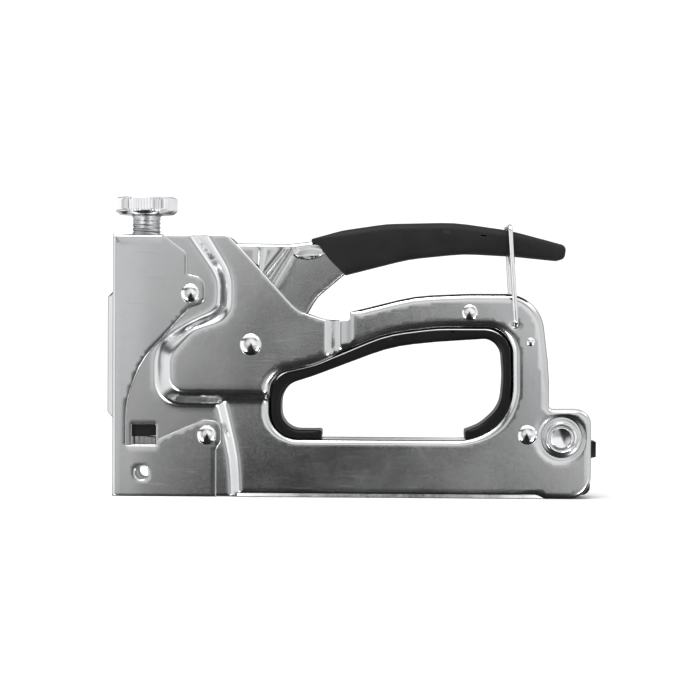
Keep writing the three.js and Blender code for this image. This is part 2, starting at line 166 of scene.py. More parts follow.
def mesh_object(name, vertices, faces):
    """A new object at the origin, from vertices in mm."""
    mesh = bpy.data.meshes.new(name)
    mesh.from_pydata([tuple(c * MM for c in v) for v in vertices], [], [tuple(f) for f in faces])
    piece = bpy.data.objects.new(name, mesh)
    scene.collection.objects.link(piece)
    return piece


def far_from(points, others, distance):
    """Which of the points are further than distance from all the others."""
    if not len(others):
        return np.ones(len(points), bool)
    tree = KDTree(len(others))
    for i, p in enumerate(others):
        tree.insert((p[0], p[1], 0), i)
    tree.balance()
    return np.array([tree.find((p[0], p[1], 0))[2] > distance for p in points], bool)


def fill(loops, extra, spacing):
    """Triangles between outlines. Returns the inner points and faces that index loops + inner.

    Where two outlines touch, the triangulation makes points of its own; each of those counts as
    the nearest known point."""
    everywhere = np.vstack([points for points, _ in loops])
    low, high = everywhere.min(0), everywhere.max(0)

    def in_panel(places, margin):
        ok = np.ones(len(places), bool)
        for points, hole in loops:
            deep = depth_inside(places, points)
            ok &= (-deep if hole else deep) > margin
        return ok

    inner = extra[in_panel(extra, RIM_MARGIN)] if len(extra) else np.empty((0, 2))
    columns = np.arange(low[0] + spacing / 2, high[0], spacing)
    rows = np.arange(low[1] + spacing / 2, high[1], spacing)
    grid = np.array([(x, z) for x in columns for z in rows])
    grid = grid[in_panel(grid, 0.45 * spacing)]
    grid = grid[far_from(grid, inner, 0.6 * spacing)]
    inner = np.vstack([inner, grid]) if len(inner) else grid
    flat = [Vector(p) for p in everywhere] + [Vector(p) for p in inner]
    edges, at = [], 0
    for points, _ in loops:
        edges += [(at + i, at + (i + 1) % len(points)) for i in range(len(points))]
        at += len(points)
    out_v, _, out_f, origin, _, _ = delaunay_2d_cdt(flat, edges, [], 0, 1e-7)
    centres = np.array([np.mean([out_v[i] for i in f], axis=0) for f in out_f])
    near = KDTree(len(flat))
    for i, p in enumerate(flat):
        near.insert((p.x, p.y, 0), i)
    near.balance()
    known = [min(o) if o else near.find((v.x, v.y, 0))[1] for v, o in zip(out_v, origin)]
    faces = []
    for face, ok in zip(out_f, in_panel(centres, 0.0)):
        ids = [known[i] for i in face]
        if ok and len(set(ids)) == 3:
            faces.append(ids)
    return inner, faces


def panel(loops, height, spacing, sheet, extra=(), rim_steps=6, wall_step=2.5):
    """Closed sheet on the -Y side, as (vertices, faces) in mm.

    Each loop is a dict: points, hole, radius of its rolled rim, and wall, the |y| at which its
    rim's straight wall ends; both are functions of the points. height(p) is |y| of the outside.
    A wall that ends at 0 is left open there, to be joined with its mirror image."""
    vertices, faces, tops, starts = [], [], [], []
    for loop in loops:
        points, hole = loop["points"], loop["hole"]
        count = len(points)
        into = inward(points) * (-1 if hole else 1)
        radius = loop["radius"](points)
        level = height(points + into * radius[:, None])
        wall = np.minimum(loop["wall"](points), level - radius)
        steps = max(1, int(math.ceil(float((level - radius - wall).max()) / wall_step)))
        angles = [math.pi / 2 * k / rim_steps for k in range(1, rim_steps + 1)]
        skins = []
        for trim in (0.0, sheet):
            bend = np.maximum(radius - trim, LEAST_BEND)
            side = level - trim - bend
            rings = [(points + into * trim, np.minimum(wall + (side - wall) * k / steps, side))
                     for k in range(steps + 1)]
            rings += [(points + into * (trim + bend * (1 - math.cos(a)))[:, None],
                       level - trim - bend * (1 - math.sin(a))) for a in angles]
            if trim:
                rings = [(p, np.maximum(y, 0.0)) for p, y in rings]
            base = len(vertices)
            for place, y in rings:
                vertices += [(p[0], -h, p[1]) for p, h in zip(place, y)]
            skins.append((base, len(rings)))
            for r in range(len(rings) - 1):
                for i in range(count):
                    a, b = base + r * count + i, base + r * count + (i + 1) % count
                    quad = (a, b, b + count, a + count)
                    faces.append(quad if (not hole) != bool(trim) else quad[::-1])
        (outer, rings_out), (inner, _) = skins
        for i in range(count):
            j = (i + 1) % count
            if wall[i] > 1e-6 or wall[j] > 1e-6:
                quad = (outer + j, outer + i, inner + i, inner + j)
                faces.append(quad if not hole else quad[::-1])
        tops.append((points + into * radius[:, None], hole))
        starts.append((outer + (rings_out - 1) * count, inner + (rings_out - 1) * count, count))
    fresh, triangles = fill(tops, np.array(extra), spacing)
    lifted = height(fresh)
    outer_ids = [s + i for s, _, n in starts for i in range(n)]
    inner_ids = [s + i for _, s, n in starts for i in range(n)]
    for ids, trim in ((outer_ids, 0.0), (inner_ids, sheet)):
        ids += range(len(vertices), len(vertices) + len(fresh))
        vertices += [(p[0], -(h - trim), p[1]) for p, h in zip(fresh, lifted)]
    for a, b, c in triangles:
        faces.append((outer_ids[a], outer_ids[b], outer_ids[c]))
        faces.append((inner_ids[c], inner_ids[b], inner_ids[a]))
    return vertices, faces


def other_side(vertices, faces):
    """The same skin mirrored to +Y, with its faces turned to stay outward."""
    return [(x, -y, z) for x, y, z in vertices], [tuple(reversed(f)) for f in faces]


def weld(piece, distance=2e-6):
    """Merges doubled points, closes slits and turns a closed mesh's faces outwards."""
    bm = bmesh.new()
    bm.from_mesh(piece.data)
    bmesh.ops.remove_doubles(bm, verts=bm.verts, dist=distance)
    bmesh.ops.dissolve_degenerate(bm, edges=bm.edges, dist=1e-8)
    bmesh.ops.holes_fill(bm, edges=[e for e in bm.edges if e.is_boundary], sides=0)
    bmesh.ops.recalc_face_normals(bm, faces=bm.faces)
    bm.to_mesh(piece.data)
    bm.free()
    return piece


def settle(piece):
    """Applies the piece's modifiers, so that its mesh is final."""
    bpy.context.view_layer.update()
    graph = bpy.context.evaluated_depsgraph_get()
    mesh = bpy.data.meshes.new_from_object(piece.evaluated_get(graph))
    piece.modifiers.clear()
    piece.data = mesh
    return piece


def smooth(piece, angle=35):
    """Smooth shading that keeps edges sharper than angle degrees."""
    piece.data.shade_smooth()
    piece.data.set_sharp_from_angle(angle=math.radians(angle))
    return piece


def triangles_of(piece):
    """How many triangles the piece's faces make."""
    return sum(len(p.vertices) - 2 for p in piece.data.polygons)


def finished(piece, body, slot, material, *replaced):
    """Gives a piece its material and its body, and hides the CAD nodes that it stands for. slot is not
    used.
    """
    piece.data.materials.clear()
    piece.data.materials.append(material)
    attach(piece, body)
    if replaced:
        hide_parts(*replaced)
    print(f"{piece.name}: {triangles_of(piece)} triangles on {body}")
    return piece

# %% [markdown]
# ## Finishes
# All the metal here is real metal in the shader: metallic 1, with a grey base colour. What tells
# one finish from another is how rough it is and how that roughness wanders. Nickel plate over a
# pressed sheet keeps a faint orange-peel and hair-fine lines from handling; turned and cut pieces
# keep tool marks; chrome is smooth with a few smudges. Every pattern is worked out from Object
# coordinates, in metres, so that it stays on its piece when the piece moves.

# %% Node helpers
RANGE_SOCKETS = ("From Min", "From Max", "To Min", "To Max")


class Nodes:
    """A short way to write a material's node tree."""

    def __init__(self, name, **values):
        self.material = bpy.data.materials.new(name)
        self.material.use_nodes = True
        self.tree = self.material.node_tree
        self.tree.nodes.clear()
        self.shader = self.add("ShaderNodeBsdfPrincipled", **values)
        output = self.add("ShaderNodeOutputMaterial")
        self.link(self.shader.outputs["BSDF"], output.inputs["Surface"])
        self.place = self.add("ShaderNodeTexCoord").outputs["Object"]

    def link(self, source, target):
        self.tree.links.new(source, target)

    def add(self, kind, links=None, **values):
        node = self.tree.nodes.new(kind)
        for key, value in values.items():
            if hasattr(node, key):
                setattr(node, key, value)
            else:
                node.inputs[key.replace("_", " ")].default_value = value
        for key, source in (links or {}).items():
            self.link(source, node.inputs[key])
        return node

    def stretched(self, scale=(1, 1, 1), turn=(0, 0, 0)):
        node = self.add("ShaderNodeMapping", links={"Vector": self.place})
        node.inputs["Scale"].default_value = scale
        node.inputs["Rotation"].default_value = turn
        return node.outputs["Vector"]

    def noise(self, scale, detail=2.0, rough=0.5, vector=None):
        """Noise, 0 to 1; scale is the number of bumps in a metre."""
        return self.add("ShaderNodeTexNoise", links={"Vector": vector or self.place},
                        Scale=scale, Detail=detail, Roughness=rough).outputs["Fac"]

    def remap(self, source, low, high, to_low, to_high):
        """Maps low..high to to_low..to_high and stops there."""
        node = self.add("ShaderNodeMapRange", links={"Value": source})
        for key, value in zip(RANGE_SOCKETS, (low, high, to_low, to_high)):
            node.inputs[key].default_value = value
        return node.outputs["Result"]

    def math(self, kind, a, b):
        node = self.add("ShaderNodeMath", operation=kind)
        for socket, value in zip(node.inputs, (a, b)):
            if isinstance(value, (int, float)):
                socket.default_value = value
            else:
                self.link(value, socket)
        return node.outputs[0]

    def shades(self, source, dark, light):
        """A colour between dark and light."""
        node = self.add("ShaderNodeMix", data_type="RGBA")
        self.link(source, node.inputs["Factor"])
        node.inputs["A"].default_value = (*dark, 1)
        node.inputs["B"].default_value = (*light, 1)
        self.link(node.outputs["Result"], self.shader.inputs["Base Color"])

    def bump(self, height, depth_mm, strength=1.0):
        """Tilts the surface as if height rose depth_mm; bumps add to the ones before."""
        node = self.add("ShaderNodeBump", links={"Height": height}, Strength=strength)
        node.inputs["Distance"].default_value = depth_mm * MM
        before = self.shader.inputs["Normal"].links
        if before:
            self.link(before[0].from_socket, node.inputs["Normal"])
        self.link(node.outputs["Normal"], self.shader.inputs["Normal"])


# %% Metals
def plated_sheet():
    """Satin nickel plate: soft reflections, faint orange-peel, fine grain and a few hairlines."""
    m = Nodes("satin_nickel_plate", Metallic=1.0)
    broad, peel, grain = m.noise(34, 3), m.noise(420, 2), m.noise(1900, 2, 0.5)
    hairs = m.noise(1300, 2, 0.6, m.stretched((0.05, 1, 1), (0, 0.35, 0)))
    tone = m.math("ADD", m.math("MULTIPLY", broad, 0.7), m.math("MULTIPLY", grain, 0.3))
    m.shades(m.remap(tone, 0.35, 0.65, 0, 1), (0.58, 0.585, 0.595), (0.68, 0.685, 0.69))
    cloud, scuff = m.remap(broad, 0.3, 0.7, 0.12, 0.17), m.remap(hairs, 0.62, 0.8, 0.0, 0.08)
    m.link(m.math("ADD", m.math("ADD", cloud, scuff), m.remap(grain, 0.3, 0.7, 0.0, 0.03)),
           m.shader.inputs["Roughness"])
    m.bump(peel, 0.0035)
    m.bump(grain, 0.0016)
    return m.material


def bright_chrome():
    """Bright plate with faint smudges."""
    m = Nodes("bright_chrome", Metallic=1.0)
    smudge = m.noise(260, 3)
    m.shades(m.remap(smudge, 0.3, 0.7, 0, 1), (0.78, 0.785, 0.80), (0.86, 0.86, 0.87))
    m.link(m.remap(smudge, 0.35, 0.7, 0.07, 0.15), m.shader.inputs["Roughness"])
    m.bump(m.noise(900, 2), 0.003)
    return m.material


def zinc_plate():
    """Dull bluish zinc with small crystals."""
    m = Nodes("zinc_plate", Metallic=1.0)
    crystals = m.add("ShaderNodeTexVoronoi", links={"Vector": m.place}, Scale=900.0)
    cloud = m.noise(150, 3)
    grain = m.math("ADD", m.math("MULTIPLY", crystals.outputs["Distance"], 0.35),
                   m.math("MULTIPLY", cloud, 0.65))
    m.shades(m.remap(grain, 0.3, 0.65, 0, 1), (0.47, 0.48, 0.50), (0.62, 0.63, 0.64))
    m.link(m.remap(grain, 0.3, 0.65, 0.28, 0.44), m.shader.inputs["Roughness"])
    m.bump(grain, 0.008)
    return m.material


def oiled_wire():
    """Drawn spring wire with a thin film of oil."""
    m = Nodes("oiled_spring_wire", Metallic=1.0, Coat_Weight=0.25, Coat_Roughness=0.12)
    streak = m.noise(1500, 3, 0.6)
    m.shades(m.remap(streak, 0.3, 0.7, 0, 1), (0.30, 0.31, 0.32), (0.47, 0.475, 0.48))
    m.link(m.remap(streak, 0.3, 0.7, 0.22, 0.36), m.shader.inputs["Roughness"])
    m.bump(streak, 0.004)
    return m.material


def hardened_steel():
    """Ground and hardened steel, dark, with grinding lines and a brown heat tint."""
    m = Nodes("hardened_ground_steel", Metallic=1.0)
    tint = m.noise(120, 3)
    ground = m.noise(3500, 2, 0.6, m.stretched((1, 1, 0.05)))
    m.shades(m.remap(tint, 0.3, 0.7, 0, 1), (0.22, 0.22, 0.23), (0.36, 0.34, 0.32))
    m.link(m.remap(ground, 0.3, 0.7, 0.26, 0.42), m.shader.inputs["Roughness"])
    m.bump(ground, 0.004)
    return m.material


def grip_rubber():
    """Dipped rubber: nearly black, finely pebbled, with a dusty sheen."""
    m = Nodes("pebbled_black_rubber", Roughness=0.62, IOR=1.5, Specular_IOR_Level=0.16,
              Sheen_Weight=0.02)
    pebbles = m.add("ShaderNodeTexVoronoi", links={"Vector": m.place}, Scale=2300.0)
    dust, broad = m.noise(5200, 2), m.noise(90, 3)
    tone = m.math("ADD", m.math("MULTIPLY", dust, 0.6), m.math("MULTIPLY", broad, 0.4))
    m.shades(m.remap(tone, 0.35, 0.65, 0, 1), (0.005, 0.005, 0.0055), (0.014, 0.014, 0.0145))
    m.link(m.remap(broad, 0.3, 0.7, 0.5, 0.66), m.shader.inputs["Roughness"])
    m.bump(pebbles.outputs["Distance"], 0.09, 0.55)
    m.bump(dust, 0.02, 0.6)
    return m.material


def moulded_plastic():
    """Moulded black plastic with a fine spark-eroded texture."""
    m = Nodes("moulded_black_plastic", Roughness=0.4, IOR=1.45, Specular_IOR_Level=0.2)
    spark, broad = m.noise(3600, 2, 0.6), m.noise(70, 2)
    m.shades(m.remap(broad, 0.3, 0.7, 0, 1), (0.002, 0.002, 0.0022), (0.005, 0.005, 0.0053))
    m.link(m.remap(spark, 0.3, 0.7, 0.32, 0.5), m.shader.inputs["Roughness"])
    m.bump(spark, 0.012, 0.7)
    return m.material


def buffer_rubber():
    """Plain moulded rubber of the hammer's buffer."""
    m = Nodes("moulded_buffer_rubber", Roughness=0.7, Specular_IOR_Level=0.2)
    grain = m.noise(1800, 3)
    m.shades(m.remap(grain, 0.3, 0.7, 0, 1), (0.004, 0.004, 0.004), (0.009, 0.009, 0.0095))
    m.link(m.remap(grain, 0.3, 0.7, 0.6, 0.8), m.shader.inputs["Roughness"])
    m.bump(grain, 0.02, 0.7)
    return m.material


NICKEL, CHROME, ZINC = plated_sheet(), bright_chrome(), zinc_plate()
WIRE, HARD, RUBBER = oiled_wire(), hardened_steel(), grip_rubber()
PLASTIC, BUFFER = moulded_plastic(), buffer_rubber()
print("finishes:", ", ".join(m.name for m in bpy.data.materials))

# %% [markdown]
# ## The two body shells
# Each half is one pressing: a narrow nose, a raised main panel with a soft S-shaped edge, a wide
# level over the magazine and handle, and rims rolled over by the die. The heights below are the
# half widths of those levels. The slope between two levels runs between two outlines, its foot and
# its top, so that it can widen and narrow as the real one does.

# %% Body dimensions
SHEET = 1.0
NOSE, GROOVE, BODY, MAIN = 6.9, 7.8, 9.2, 12.0
SILHOUETTE = rounded([
    (-85.1, 0.3), (-42, 0.3), (-42, 1.4), (66, 1.4, 4), (69, 0.05, 4), (85.5, 0.05, 10.5),
    (85.5, 32.2, 5.5), (70.4, 32.2, 1.2), (70.4, 45, 60), (67, 73.5, 14), (41, 73.4, 60),
    (22, 72.5, 60), (-1.1, 66.6, 0.6), (-1.1, 63.7, 0.8), (-10, 63.6, 12), (-20, 67, 12), (-40, 89, 3),
    (-45, 93.8, 3), (-57, 93.8), (-85.1, 93.8)])
OPENING = rounded([
    (-29.4, 21, 10), (-29.4, 43.6, 7.5), (-14, 47.2, 30), (12, 58.3, 50), (30, 60.6, 60),
    (56.5, 60.7, 9), (57.1, 21, 19)])
MAIN_FOOT = rounded([
    (-61.5, 98), (-48.0, 79.0, 12), (-48.0, 67.2, 7), (-70.8, 55.5, 13), (-70.8, 33.3, 8.5),
    (-18, 33.3), (-4.4, 46), (-4.4, 72), (-20, 98)])
MAIN_TOP = rounded([
    (-54.8, 98), (-43.9, 79.5, 16), (-44.0, 64.4, 7), (-57.5, 60.6, 8), (-65.9, 50.5, 9),
    (-65.2, 37.2, 6), (-18, 37.2), (-8.6, 46), (-8.6, 72), (-20, 98)])
STEP_FOOT = rounded([
    (-42.7, -8), (-43.6, 14, 60), (-49.5, 37), (-30, 60), (-12, 80), (120, 80), (120, -8)])
STEP_TOP = rounded([
    (-40.4, -8), (-41.3, 14, 60), (-46.6, 37), (-28, 60), (-10, 80), (121, 80), (121, -8)])
GROOVE_AT, GROOVE_RISE = (-9.0, -1.1), 1.0      # its two edges in x, and how much it rises to the rear
STUD_AT, STUD_RING = (74.7, 22.0), 7.3
WINDOW = rounded([(-79.4, 18.6, 0.5), (-70.6, 18.6, 0.5), (-70.6, 25.9, 0.5), (-79.4, 25.9, 0.5)])
NOSE_HOLE_AT = (-75.6, 8.4)
NOSE_HOLE = circle(NOSE_HOLE_AT, 2.7)
BAIL_AT, BAIL_HOLE_R = (58.1, 62.4), 1.5
SEAM = 0.15                                     # each half stops this far from the middle plane
CHANNEL_WAY, BLADE_WAY, LEVER_WAY = 7.4, 5.95, 9.3     # |y| of a rim that leaves room for these


# %% Levels of the pressing
def between(places, foot, top):
    """0 at the foot of a slope, 1 at its top."""
    low, high = depth_inside(places, foot), depth_inside(places, top)
    return np.where(low <= 0, 0.0, np.where(high >= 0, 1.0, low / np.maximum(low - high, 1e-6)))


def drawn_height(places):
    """Half width of the pressing, |y| in mm, as a draughtsman draws it: flats and straight slopes."""
    x, z = places[:, 0], places[:, 1]
    level = NOSE + (BODY - NOSE) * between(places, STEP_FOOT, STEP_TOP)
    in_groove = (x > GROOVE_AT[0]) & (x < GROOVE_AT[1]) & (z > 45)
    valley = GROOVE + GROOVE_RISE * (x - GROOVE_AT[0]) / (GROOVE_AT[1] - GROOVE_AT[0])
    level = np.where(in_groove, valley, level)
    return np.maximum(level, NOSE + (MAIN - NOSE) * between(places, MAIN_FOOT, MAIN_TOP))


class PressedMap:
    """Heights on a fine grid, smoothed as sheet smooths itself over a die, and read between."""

    def __init__(self, rule, low, high, cell, smooth_mm):
        self.low, self.cell = np.array(low), cell
        self.shape = tuple(int((b - a) / cell) + 1 for a, b in zip(low, high))
        columns, rows = (low[k] + cell * np.arange(self.shape[k]) for k in (0, 1))
        places = np.stack(np.meshgrid(columns, rows, indexing="ij"), axis=-1).reshape(-1, 2)
        values = rule(places).reshape(self.shape)
        reach = int(3 * smooth_mm / cell)
        bell = np.exp(-0.5 * (np.arange(-reach, reach + 1) * cell / smooth_mm) ** 2)
        bell /= bell.sum()
        for axis in (0, 1):
            padded = np.pad(values, [(reach, reach) if k == axis else (0, 0) for k in (0, 1)], "edge")
            values = sum(w * np.take(padded, range(i, i + self.shape[axis]), axis)
                         for i, w in enumerate(bell))
        self.values = values

    def __call__(self, places):
        at = (places - self.low) / self.cell
        at = np.clip(at, 0, np.array(self.shape) - 1.001)
        i, j = at.astype(int).T
        u, v = (at - at.astype(int)).T
        a = self.values
        return (a[i, j] * (1 - u) * (1 - v) + a[i + 1, j] * u * (1 - v)
                + a[i, j + 1] * (1 - u) * v + a[i + 1, j + 1] * u * v)

    def bent_places(self, spacing, least):
        """A staggered grid of points where the map curves more than least, in 1/mm."""
        across = np.abs(np.gradient(np.gradient(self.values, self.cell, axis=0), self.cell, axis=0))
        upward = np.abs(np.gradient(np.gradient(self.values, self.cell, axis=1), self.cell, axis=1))
        bend = across + upward
        high = self.low + self.cell * np.array(self.shape)
        rows = np.arange(self.low[1], high[1], spacing * 0.87)
        columns = np.arange(self.low[0], high[0], spacing)
        points = np.array([(x + (k % 2) * spacing / 2, z)
                           for k, z in enumerate(rows) for x in columns])
        at = np.clip(((points - self.low) / self.cell).astype(int), 0, np.array(self.shape) - 1)
        return points[bend[at[:, 0], at[:, 1]] > least]


pressed = PressedMap(drawn_height, (-88, -4), (88, 97), 0.25, 0.8)


def body_height(places):
    """The smoothed pressing, with the ring round the rear stud pressed in."""
    from_stud = np.hypot(places[:, 0] - STUD_AT[0], places[:, 1] - STUD_AT[1])
    return pressed(places) - 0.4 * np.exp(-(from_stud - STUD_RING) ** 2)


def contour(outline, distance, spacing=0.8):
    """Points along an outline moved inwards, without the parts that fold over."""
    points = spread(outline, spacing)
    moved = points + inward(points) * distance
    deep = depth_inside(moved, outline)
    return moved[np.abs(np.abs(deep) - abs(distance)) < 0.12]


# %% Rims of the body
def along(values, window):
    """A value that varies along a closed outline, smoothed over a number of points."""
    kernel = np.ones(window) / window
    padded = np.concatenate([values[-window:], values, values[:window]])
    return np.convolve(padded, kernel, "same")[window:-window]


def silhouette_radius(p):
    """Tight at the nose and under the bar, wide over the handle and round the rear lug."""
    x, z = p.T
    radius = np.full(len(p), 0.5)
    radius[z < 2.5] = 0.9
    radius[x > 60] = 1.7
    radius[(x > -1.6) & (z > 40)] = 2.5
    radius[(x < 0.5) & (z > 40)] = 0.45
    radius[(x < -41) & (z < 60)] = 0.4
    return along(radius, 7)


def silhouette_wall(p):
    """Where the rim's wall ends: at the middle, or at a way out that the sheet leaves open."""
    x, z = p.T
    wall = np.full(len(p), SEAM)
    wall[(z < 2.5) & (x > -43) & (x < 84)] = CHANNEL_WAY
    wall[(x > 84) & (z < 21.3)] = CHANNEL_WAY
    wall[(x < -42) & (z < 2.5)] = BLADE_WAY
    wall[x < -84] = BLADE_WAY
    wall[(x < -66.8) & (z > 92)] = BLADE_WAY
    wall[(x > -46.5) & (x < -13.5) & (z > 62)] = LEVER_WAY
    return wall


def constant(value):
    """A rule that gives the same value everywhere."""
    return lambda p: np.full(len(p), float(value))


def opening_radius(p):
    """The rim round the fingers is rolled wider at the front, above and behind than below."""
    return along(np.where(p[:, 1] < 24, 2.0, 3.1), 15)


def body_shell():
    """The left half, with extra points where the sheet bends and round the stud's ring."""
    extra = np.vstack([pressed.bent_places(0.5, 0.05),
                       *[circle(STUD_AT, r, 60) for r in (5.9, 6.4, 6.9, STUD_RING, 7.7, 8.2, 8.8)]])
    hole_wall = lambda p: body_height(p) - SHEET
    loops = [
        dict(points=spread(SILHOUETTE, 0.8), hole=False, radius=silhouette_radius,
             wall=silhouette_wall),
        dict(points=spread(OPENING, 0.8), hole=True, radius=opening_radius, wall=constant(SEAM)),
        dict(points=spread(WINDOW, 0.5), hole=True, radius=constant(0.2), wall=hole_wall),
        dict(points=NOSE_HOLE, hole=True, radius=constant(0.2), wall=hole_wall),
        dict(points=circle(BAIL_AT, BAIL_HOLE_R, 24), hole=True, radius=constant(0.15),
             wall=hole_wall)]
    return panel(loops, body_height, 1.2, SHEET, extra)


left = body_shell()
shell_left = weld(mesh_object("left_shell_pressing", *left))
shell_right = weld(mesh_object("right_shell_pressing", *other_side(*left)))
for piece, side in ((shell_left, "left"), (shell_right, "right")):
    finished(smooth(piece, 40), "body", "plated_shell", NICKEL, f"{side}_body_shell")

# %% [markdown]
# ## The front cover
# One U-shaped sheet is folded over the nose and holds the two halves together. Its side plates
# end in sharp cut edges; only the folds at the front and at the top are round. Each side is built
# as a panel whose front and top walls run to the middle, and the two sides are welded there. A
# hollow rib is pressed out of the front.

# %% Front cover
COVER, NOSE_FRONT, COVER_TOP = 8.2, -86.4, 94.15
COVER_OUTLINE = rounded([
    (NOSE_FRONT, 0.12), (-48.8, 0.12), (-48.8, 17, 2), (-47, 20, 1.5), (-47, 27, 5), (-53.5, 27.8, 4),
    (-70.2, 20.4, 0.8), (-70.2, 18.2), (-81.2, 18.2), (-81.2, 34, 30), (-76, 48.5, 30),
    (-58.5, 67.8, 4), (-52.9, 69.6, 4), (-52.9, 78.3, 5), (-59.6, 79.9, 1.2), (-59.6, 87.4, 2),
    (-68.5, COVER_TOP - 0.07), (-68.6, COVER_TOP), (NOSE_FRONT, COVER_TOP)])
CUT_EDGE, COVER_FOLD = 0.28, 1.5          # radii of a cut edge and of a fold
FRONT_RIB = (-88.75, 27.0, 74.4, 3.5)     # foremost x, its two ends in z, and its half width
RIB_SIDE, RIB_END = 1.9, 3.2              # how wide its slopes are
SCREW_X, STEM_HOLE_R = -75.0, 5.75


def cover_folds(p):
    """1 on the folded front and top, 0 along the cut edges."""
    folded = (p[:, 0] < NOSE_FRONT + 0.1) | (p[:, 1] > COVER_TOP - 0.05)
    return folded.astype(float)


def cover_height(p):
    """The sides bow out a hair between the folds, as a bent sheet does."""
    x, z = p.T
    flare = 0.22 * np.exp(-((x - NOSE_FRONT) / 7.0) ** 2)
    return COVER - flare * (z < 92)


def cover_radius(p):
    """The fold's radius runs out softly at the foot of the nose and at once at the top."""
    folded = np.where(p[:, 1] > 50, cover_folds(p), along(cover_folds(p), 3))
    return CUT_EDGE + (COVER_FOLD - CUT_EDGE) * folded


def cover_side():
    """One side of the cover, with its half of the front's rib pressed out."""
    wall = lambda p: np.where(cover_folds(p) > 0, 0.0, COVER - SHEET)
    loops = [
        dict(points=spread(COVER_OUTLINE, 0.9), hole=False, radius=cover_radius, wall=wall),
        dict(points=NOSE_HOLE, hole=True, radius=constant(CUT_EDGE), wall=constant(COVER - SHEET))]
    vertices, faces = panel(loops, cover_height, 1.6, SHEET - 0.05, wall_step=0.7)
    front, low, high, half = FRONT_RIB
    ribbed = []
    for x, y, z in vertices:
        if x < NOSE_FRONT + 2 and abs(y) < COVER - COVER_FOLD + 0.2:
            across = float(ramp(np.array((half - abs(y)) / RIB_SIDE + 0.25), 0.3))
            upward = float(ramp(np.array(min(z - low, high - z) / RIB_END), 0.3))
            x -= (NOSE_FRONT - front) * across * upward
        ribbed.append((x, y, z))
    return ribbed, faces


def two_sided(name, vertices, faces):
    """A folded sheet: one side, its mirror image, and the seam between them welded."""
    mirror, mirror_faces = other_side(vertices, faces)
    shift = len(vertices)
    faces = list(faces) + [tuple(i + shift for i in f) for f in mirror_faces]
    return weld(mesh_object(name, list(vertices) + mirror, faces))


def cut(piece, tool):
    """Cuts one closed mesh out of another and throws the tool away."""
    modifier = piece.modifiers.new("cut", "BOOLEAN")
    modifier.operation = "DIFFERENCE"
    modifier.solver = "EXACT"
    modifier.object = tool
    settle(piece)
    bpy.data.objects.remove(tool)


def lathe(profile, centre, axis="Z", count=48):
    """Vertices and faces turned from a profile of (radius, distance along the axis), in mm.

    A profile that starts and ends at radius 0 gives a solid; one that closes gives a ring."""
    vertices, faces, rows = [], [], []
    for radius, level in profile:
        row = [len(vertices)] * count if radius < 1e-6 else [len(vertices) + i for i in range(count)]
        for i in range(1 if radius < 1e-6 else count):
            turn = 2 * math.pi * i / count
            a, b = radius * math.cos(turn), radius * math.sin(turn)
            vertices.append({"Z": (centre[0] + a, b, level), "X": (level, a, centre[1] + b),
                             "Y": (centre[0] + a, level, centre[1] - b)}[axis])
        rows.append(row)
    for low, high in zip(rows, rows[1:]):
        for i in range(count):
            j = (i + 1) % count
            face = []
            for v in (low[i], low[j], high[j], high[i]):
                if v not in face:
                    face.append(v)
            if len(face) > 2:
                faces.append(face)
    return vertices, faces


cover = two_sided("folded_front_cover", *cover_side())
STEM_HOLE = [(0, 85), (STEM_HOLE_R, 85), (STEM_HOLE_R, 99), (0, 99)]
cut(cover, weld(mesh_object("drill", *lathe(STEM_HOLE, (SCREW_X, 0)))))
finished(smooth(cover, 35), "body", "plated_shell", NICKEL, "front_cover")

# %% [markdown]
# ## Geometry Nodes: wires, coils, rivets and knurls
# Four kinds of detail repeat or follow a path: bent wire, coiled wire, rivets and the knurl and
# thread of the power screw. Each gets a small node tree with named inputs. The modifier only
# builds the shape: its result is made a plain mesh before the piece joins the frame.

# %% Tree helpers
def new_tree(name, inputs):
    """A Geometry Nodes tree with a geometry input and output and named inputs."""
    tree = bpy.data.node_groups.new(name, "GeometryNodeTree")
    tree.interface.new_socket("Geometry", in_out="INPUT", socket_type="NodeSocketGeometry")
    tree.interface.new_socket("Geometry", in_out="OUTPUT", socket_type="NodeSocketGeometry")
    for label, kind in inputs.items():
        tree.interface.new_socket(label, in_out="INPUT", socket_type="NodeSocket" + kind)
    source = tree.nodes.new("NodeGroupInput")
    return tree, source


def node(tree, kind, links=None, **settings):
    """A node with its properties set and its inputs linked or given a value."""
    made = tree.nodes.new(kind)
    for key, value in settings.items():
        setattr(made, key, value)
    for key, value in (links or {}).items():
        socket = made.inputs[key]
        if isinstance(value, bpy.types.NodeSocket):
            tree.links.new(value, socket)
        else:
            socket.default_value = value
    return made


def calculator(tree):
    """A short way to write sums: each call makes one Math node and returns its result."""
    def calc(kind, *values, clamp=False):
        return node(tree, "ShaderNodeMath", dict(enumerate(values)), operation=kind,
                    use_clamp=clamp).outputs[0]
    return calc


def end_tree(tree, source, geometry):
    """Realize Instances, Set Material and the group's output."""
    real = node(tree, "GeometryNodeRealizeInstances", {"Geometry": geometry})
    painted = node(tree, "GeometryNodeSetMaterial",
                   {"Geometry": real.outputs[0], "Material": source.outputs["Material"]})
    output = tree.nodes.new("NodeGroupOutput")
    tree.links.new(painted.outputs[0], output.inputs[0])
    return tree


def grow(name, tree, values, start=None):
    """Runs a tree on a start mesh and returns its result as a plain mesh object."""
    piece = start or bpy.data.objects.new(name, bpy.data.meshes.new(name))
    if not start:
        scene.collection.objects.link(piece)
    piece.name = name
    modifier = piece.modifiers.new("shape", "NODES")
    modifier.node_group = tree
    for item in tree.interface.items_tree:
        if item.in_out == "INPUT" and item.name in values:
            modifier[item.identifier] = values[item.name]
    return settle(piece)


